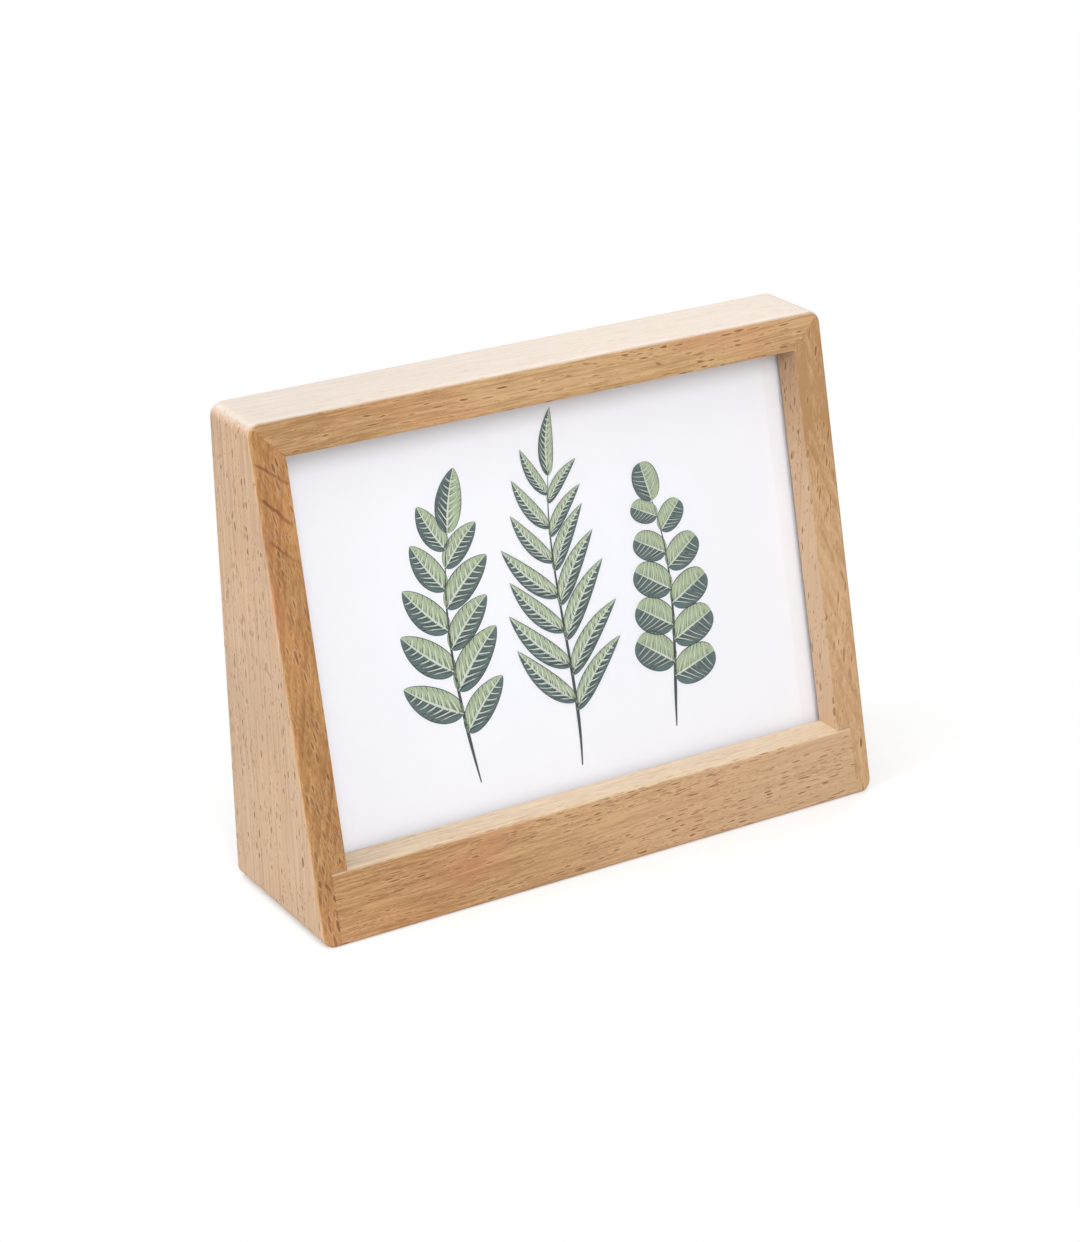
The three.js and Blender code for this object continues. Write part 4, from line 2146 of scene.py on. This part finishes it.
@dataclass
class Layers:
    """The layers behind the lip, which keep their solids and get their finishes here.

    Attributes:
        glazing: finish of the clear sheet.
        print: finish of the paper.
        filler_card: finish of the card behind it.
        backing_board: finish of the board that closes the back.
    """

    glazing: ClearSheet = ClearSheet()
    print: Paper = Paper()
    filler_card: Board = Board(
        "grey_card", tint(166, 158, 145), tint(190, 184, 172), tint(128, 120, 108), rough=0.92, fibre=6
    )
    backing_board: Board = Board(
        "fibre_board", tint(140, 104, 70), tint(172, 136, 98), tint(98, 68, 42), rough=0.7, fibre=9
    )

    def build(self) -> None:
        """Dresses the node of each layer."""
        for node in ("glazing", "print", "filler_card", "backing_board"):
            dress_solid(node, getattr(self, node).material())


@dataclass(frozen=True)
class Lamp:
    """A square lamp.

    Attributes:
        name: of the lamp.
        place: of its middle.
        size: of its side.
        power: in watts.
    """

    name: str
    place: Triple
    size: float
    power: float

    def hang(self, target: Vector) -> None:
        """Hangs the lamp, turned to a target.

        Args:
            target: what it points at.
        """
        data = bpy.data.lights.new(self.name, "AREA")
        data.size, data.energy = self.size, self.power
        lamp = bpy.data.objects.new(self.name, data)
        lamp.location = self.place
        lamp.rotation_euler = (target - Vector(self.place)).to_track_quat("-Z", "Y").to_euler()
        bpy.context.scene.collection.objects.link(lamp)


@dataclass(frozen=True)
class Viewpoint:
    """Where the photograph was taken from, found from its straight edges.

    Attributes:
        azimuth: how far the camera is round the frame from straight ahead, in degrees.
        elevation: how far it looks down, in degrees.
        roll: about its own axis, in degrees.
        distance: from what it looks at.
        aim: X and height of what it looks at, in the upright plane through the front's foot.
        focal_length: in pixels of the photograph.
        picture_height: in the same pixels.
        sensor: its longer side, in millimetres.
    """

    azimuth: float = -30.721
    elevation: float = 22.485
    roll: float = -1.145
    distance: float = 0.85537
    aim: Pair = (-0.02305, 0.083433)
    focal_length: float = 3055.30
    picture_height: float = 1242.0
    sensor: float = 36.0

    def place(self, front_foot: float) -> Matrix:
        """Works out the camera's place.

        Args:
            front_foot: how far forward the foot of the front face is.

        Returns:
            The place, with the camera's own axes.
        """
        azimuth, elevation, roll = map(math.radians, (self.azimuth, self.elevation, self.roll))
        level = math.cos(elevation)
        back = Vector((math.sin(azimuth) * level, -math.cos(azimuth) * level, math.sin(elevation)))
        right = Vector((math.cos(azimuth), math.sin(azimuth), 0))
        up = back.cross(right)
        across = right * math.cos(roll) + up * math.sin(roll)
        upward = up * math.cos(roll) - right * math.sin(roll)
        turn = Matrix((across, upward, back)).transposed().to_4x4()
        target = Vector((self.aim[0], front_foot, self.aim[1]))
        return Matrix.Translation(target + back * self.distance) @ turn

    def camera(self, front_foot: float) -> Piece:
        """Makes the camera.

        Args:
            front_foot: how far forward the foot of the front face is.

        Returns:
            The camera.
        """
        data = bpy.data.cameras.new("portrait")
        data.sensor_width = self.sensor
        data.lens = self.focal_length / self.picture_height * self.sensor
        data.clip_start = 0.01
        camera = bpy.data.objects.new("portrait", data)
        camera.matrix_world = self.place(front_foot)
        return camera


@dataclass
class Studio:
    """The floor, the lamps, the white surroundings and the camera.

    Attributes:
        sizes: the frame's sizes.
        fill: strength of the surroundings as light; what the camera sees of them is white.
        viewpoint: where the camera is.
        lamps: all the lamps.
        floor_size: side of the floor.
        floor_drop: how far the floor is below the frame's feet.
        run_out: how far from the feet the floor has run out to white.
        foot_white: share of white in the floor at the feet.
    """

    sizes: Sizes
    fill: float = 0.22
    viewpoint: Viewpoint = Viewpoint()
    lamps: tuple[Lamp, ...] = (
        Lamp("overhead", (-0.2, -0.12, 1.1), 0.9, 3.2),
        Lamp("left_window", (-1.2, 0.0, 0.62), 0.8, 9.4),
        Lamp("front_fill", (-0.35, -1.05, 0.78), 0.8, 13.2),
        Lamp("rear_fill", (0.75, 0.75, 1.15), 0.6, 7.2),
        Lamp("rear_window", (-0.3, 1.3, 0.22), 0.8, 6.5),
    )
    floor_size: float = 12.0
    floor_drop: float = 0.1 * MM
    run_out: float = 0.08
    foot_white: float = 0.3

    def from_feet(self, recipe: Recipe) -> Signal:
        """Measures how far a point of the floor is from the frame's footprint.

        Args:
            recipe: of the floor's material.

        Returns:
            The distance, 0 within the footprint.
        """
        across, back, _ = recipe.parts(recipe.place())
        aside = recipe.math("MAXIMUM", abs(across) - self.sizes.width / 2, 0.0)
        ahead = recipe.math("MAXIMUM", abs(back) - self.sizes.base_depth / 2, 0.0)
        beyond = recipe.add("CombineXYZ", {0: aside, 1: ahead}).outputs[0]
        length = recipe.add("VectorMath", {0: beyond}, operation="LENGTH").outputs["Value"]
        return Signal(recipe, length)

    def floor(self) -> None:
        """Lays a pale floor that keeps the frame's shadow and runs out to white."""
        plane, low = bpy.ops.mesh.primitive_plane_add, (0, 0, -self.floor_drop)
        floor = added("floor", plane, size=self.floor_size, location=low)
        recipe = Recipe("floor_white")
        speckle = recipe.noise(recipe.place(), 300.0)
        pale = recipe.blend(speckle, tint(250, 250, 250), tint(246, 246, 246))
        shown = recipe.seen()
        colour = recipe.blend(shown, tint(188, 188, 188), pale)
        matt = recipe.add("BsdfDiffuse", {"Color": colour}).outputs[0]
        white = recipe.add("Emission", {"Color": (1, 1, 1, 1), "Strength": 1.0}).outputs[0]
        run_out = self.from_feet(recipe).step(0.0, self.run_out, self.foot_white, 1.0)
        recipe.mix(shown * run_out, matt, white)
        dress(floor, recipe.material)

    def surroundings(self) -> None:
        """Makes the world white to the eye, and a soft fill as light."""
        world = bpy.data.worlds.new("surroundings")
        bpy.context.scene.world = world
        world.use_nodes = True
        nodes = Nodes(world.node_tree)
        back = nodes.tree.nodes["Background"]
        back.inputs["Color"].default_value = (1, 1, 1, 1)
        strength = nodes.seen().step(0.0, 1.0, self.fill, 1.0)
        nodes.tree.links.new(strength.socket, back.inputs["Strength"])

    def build(self) -> None:
        """Sets up the whole studio."""
        camera = self.viewpoint.camera(self.sizes.front_foot)
        bpy.context.scene.collection.objects.link(camera)
        bpy.context.scene.camera = camera
        self.floor()
        self.surroundings()
        for lamp in self.lamps:
            lamp.hang(Vector((0, 0, self.sizes.height / 2)))
        bpy.context.scene.view_settings.view_transform = "Standard"


def main() -> None:
    """Builds the studio, then the frame piece by piece."""
    logging.basicConfig(level=logging.INFO, format="%(message)s")
    high = cad_box[1]
    sizes = Sizes(2 * high[0], high[2], rear_face=high[1], shelf_rear=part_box("bottom_rail")[1].y)
    Studio(sizes).build()
    Boards(sizes).build()
    TurnClips(sizes).build()
    Layers().build()
    BotanicalPrint(sizes).build()


if __name__ == "__main__":
    main()
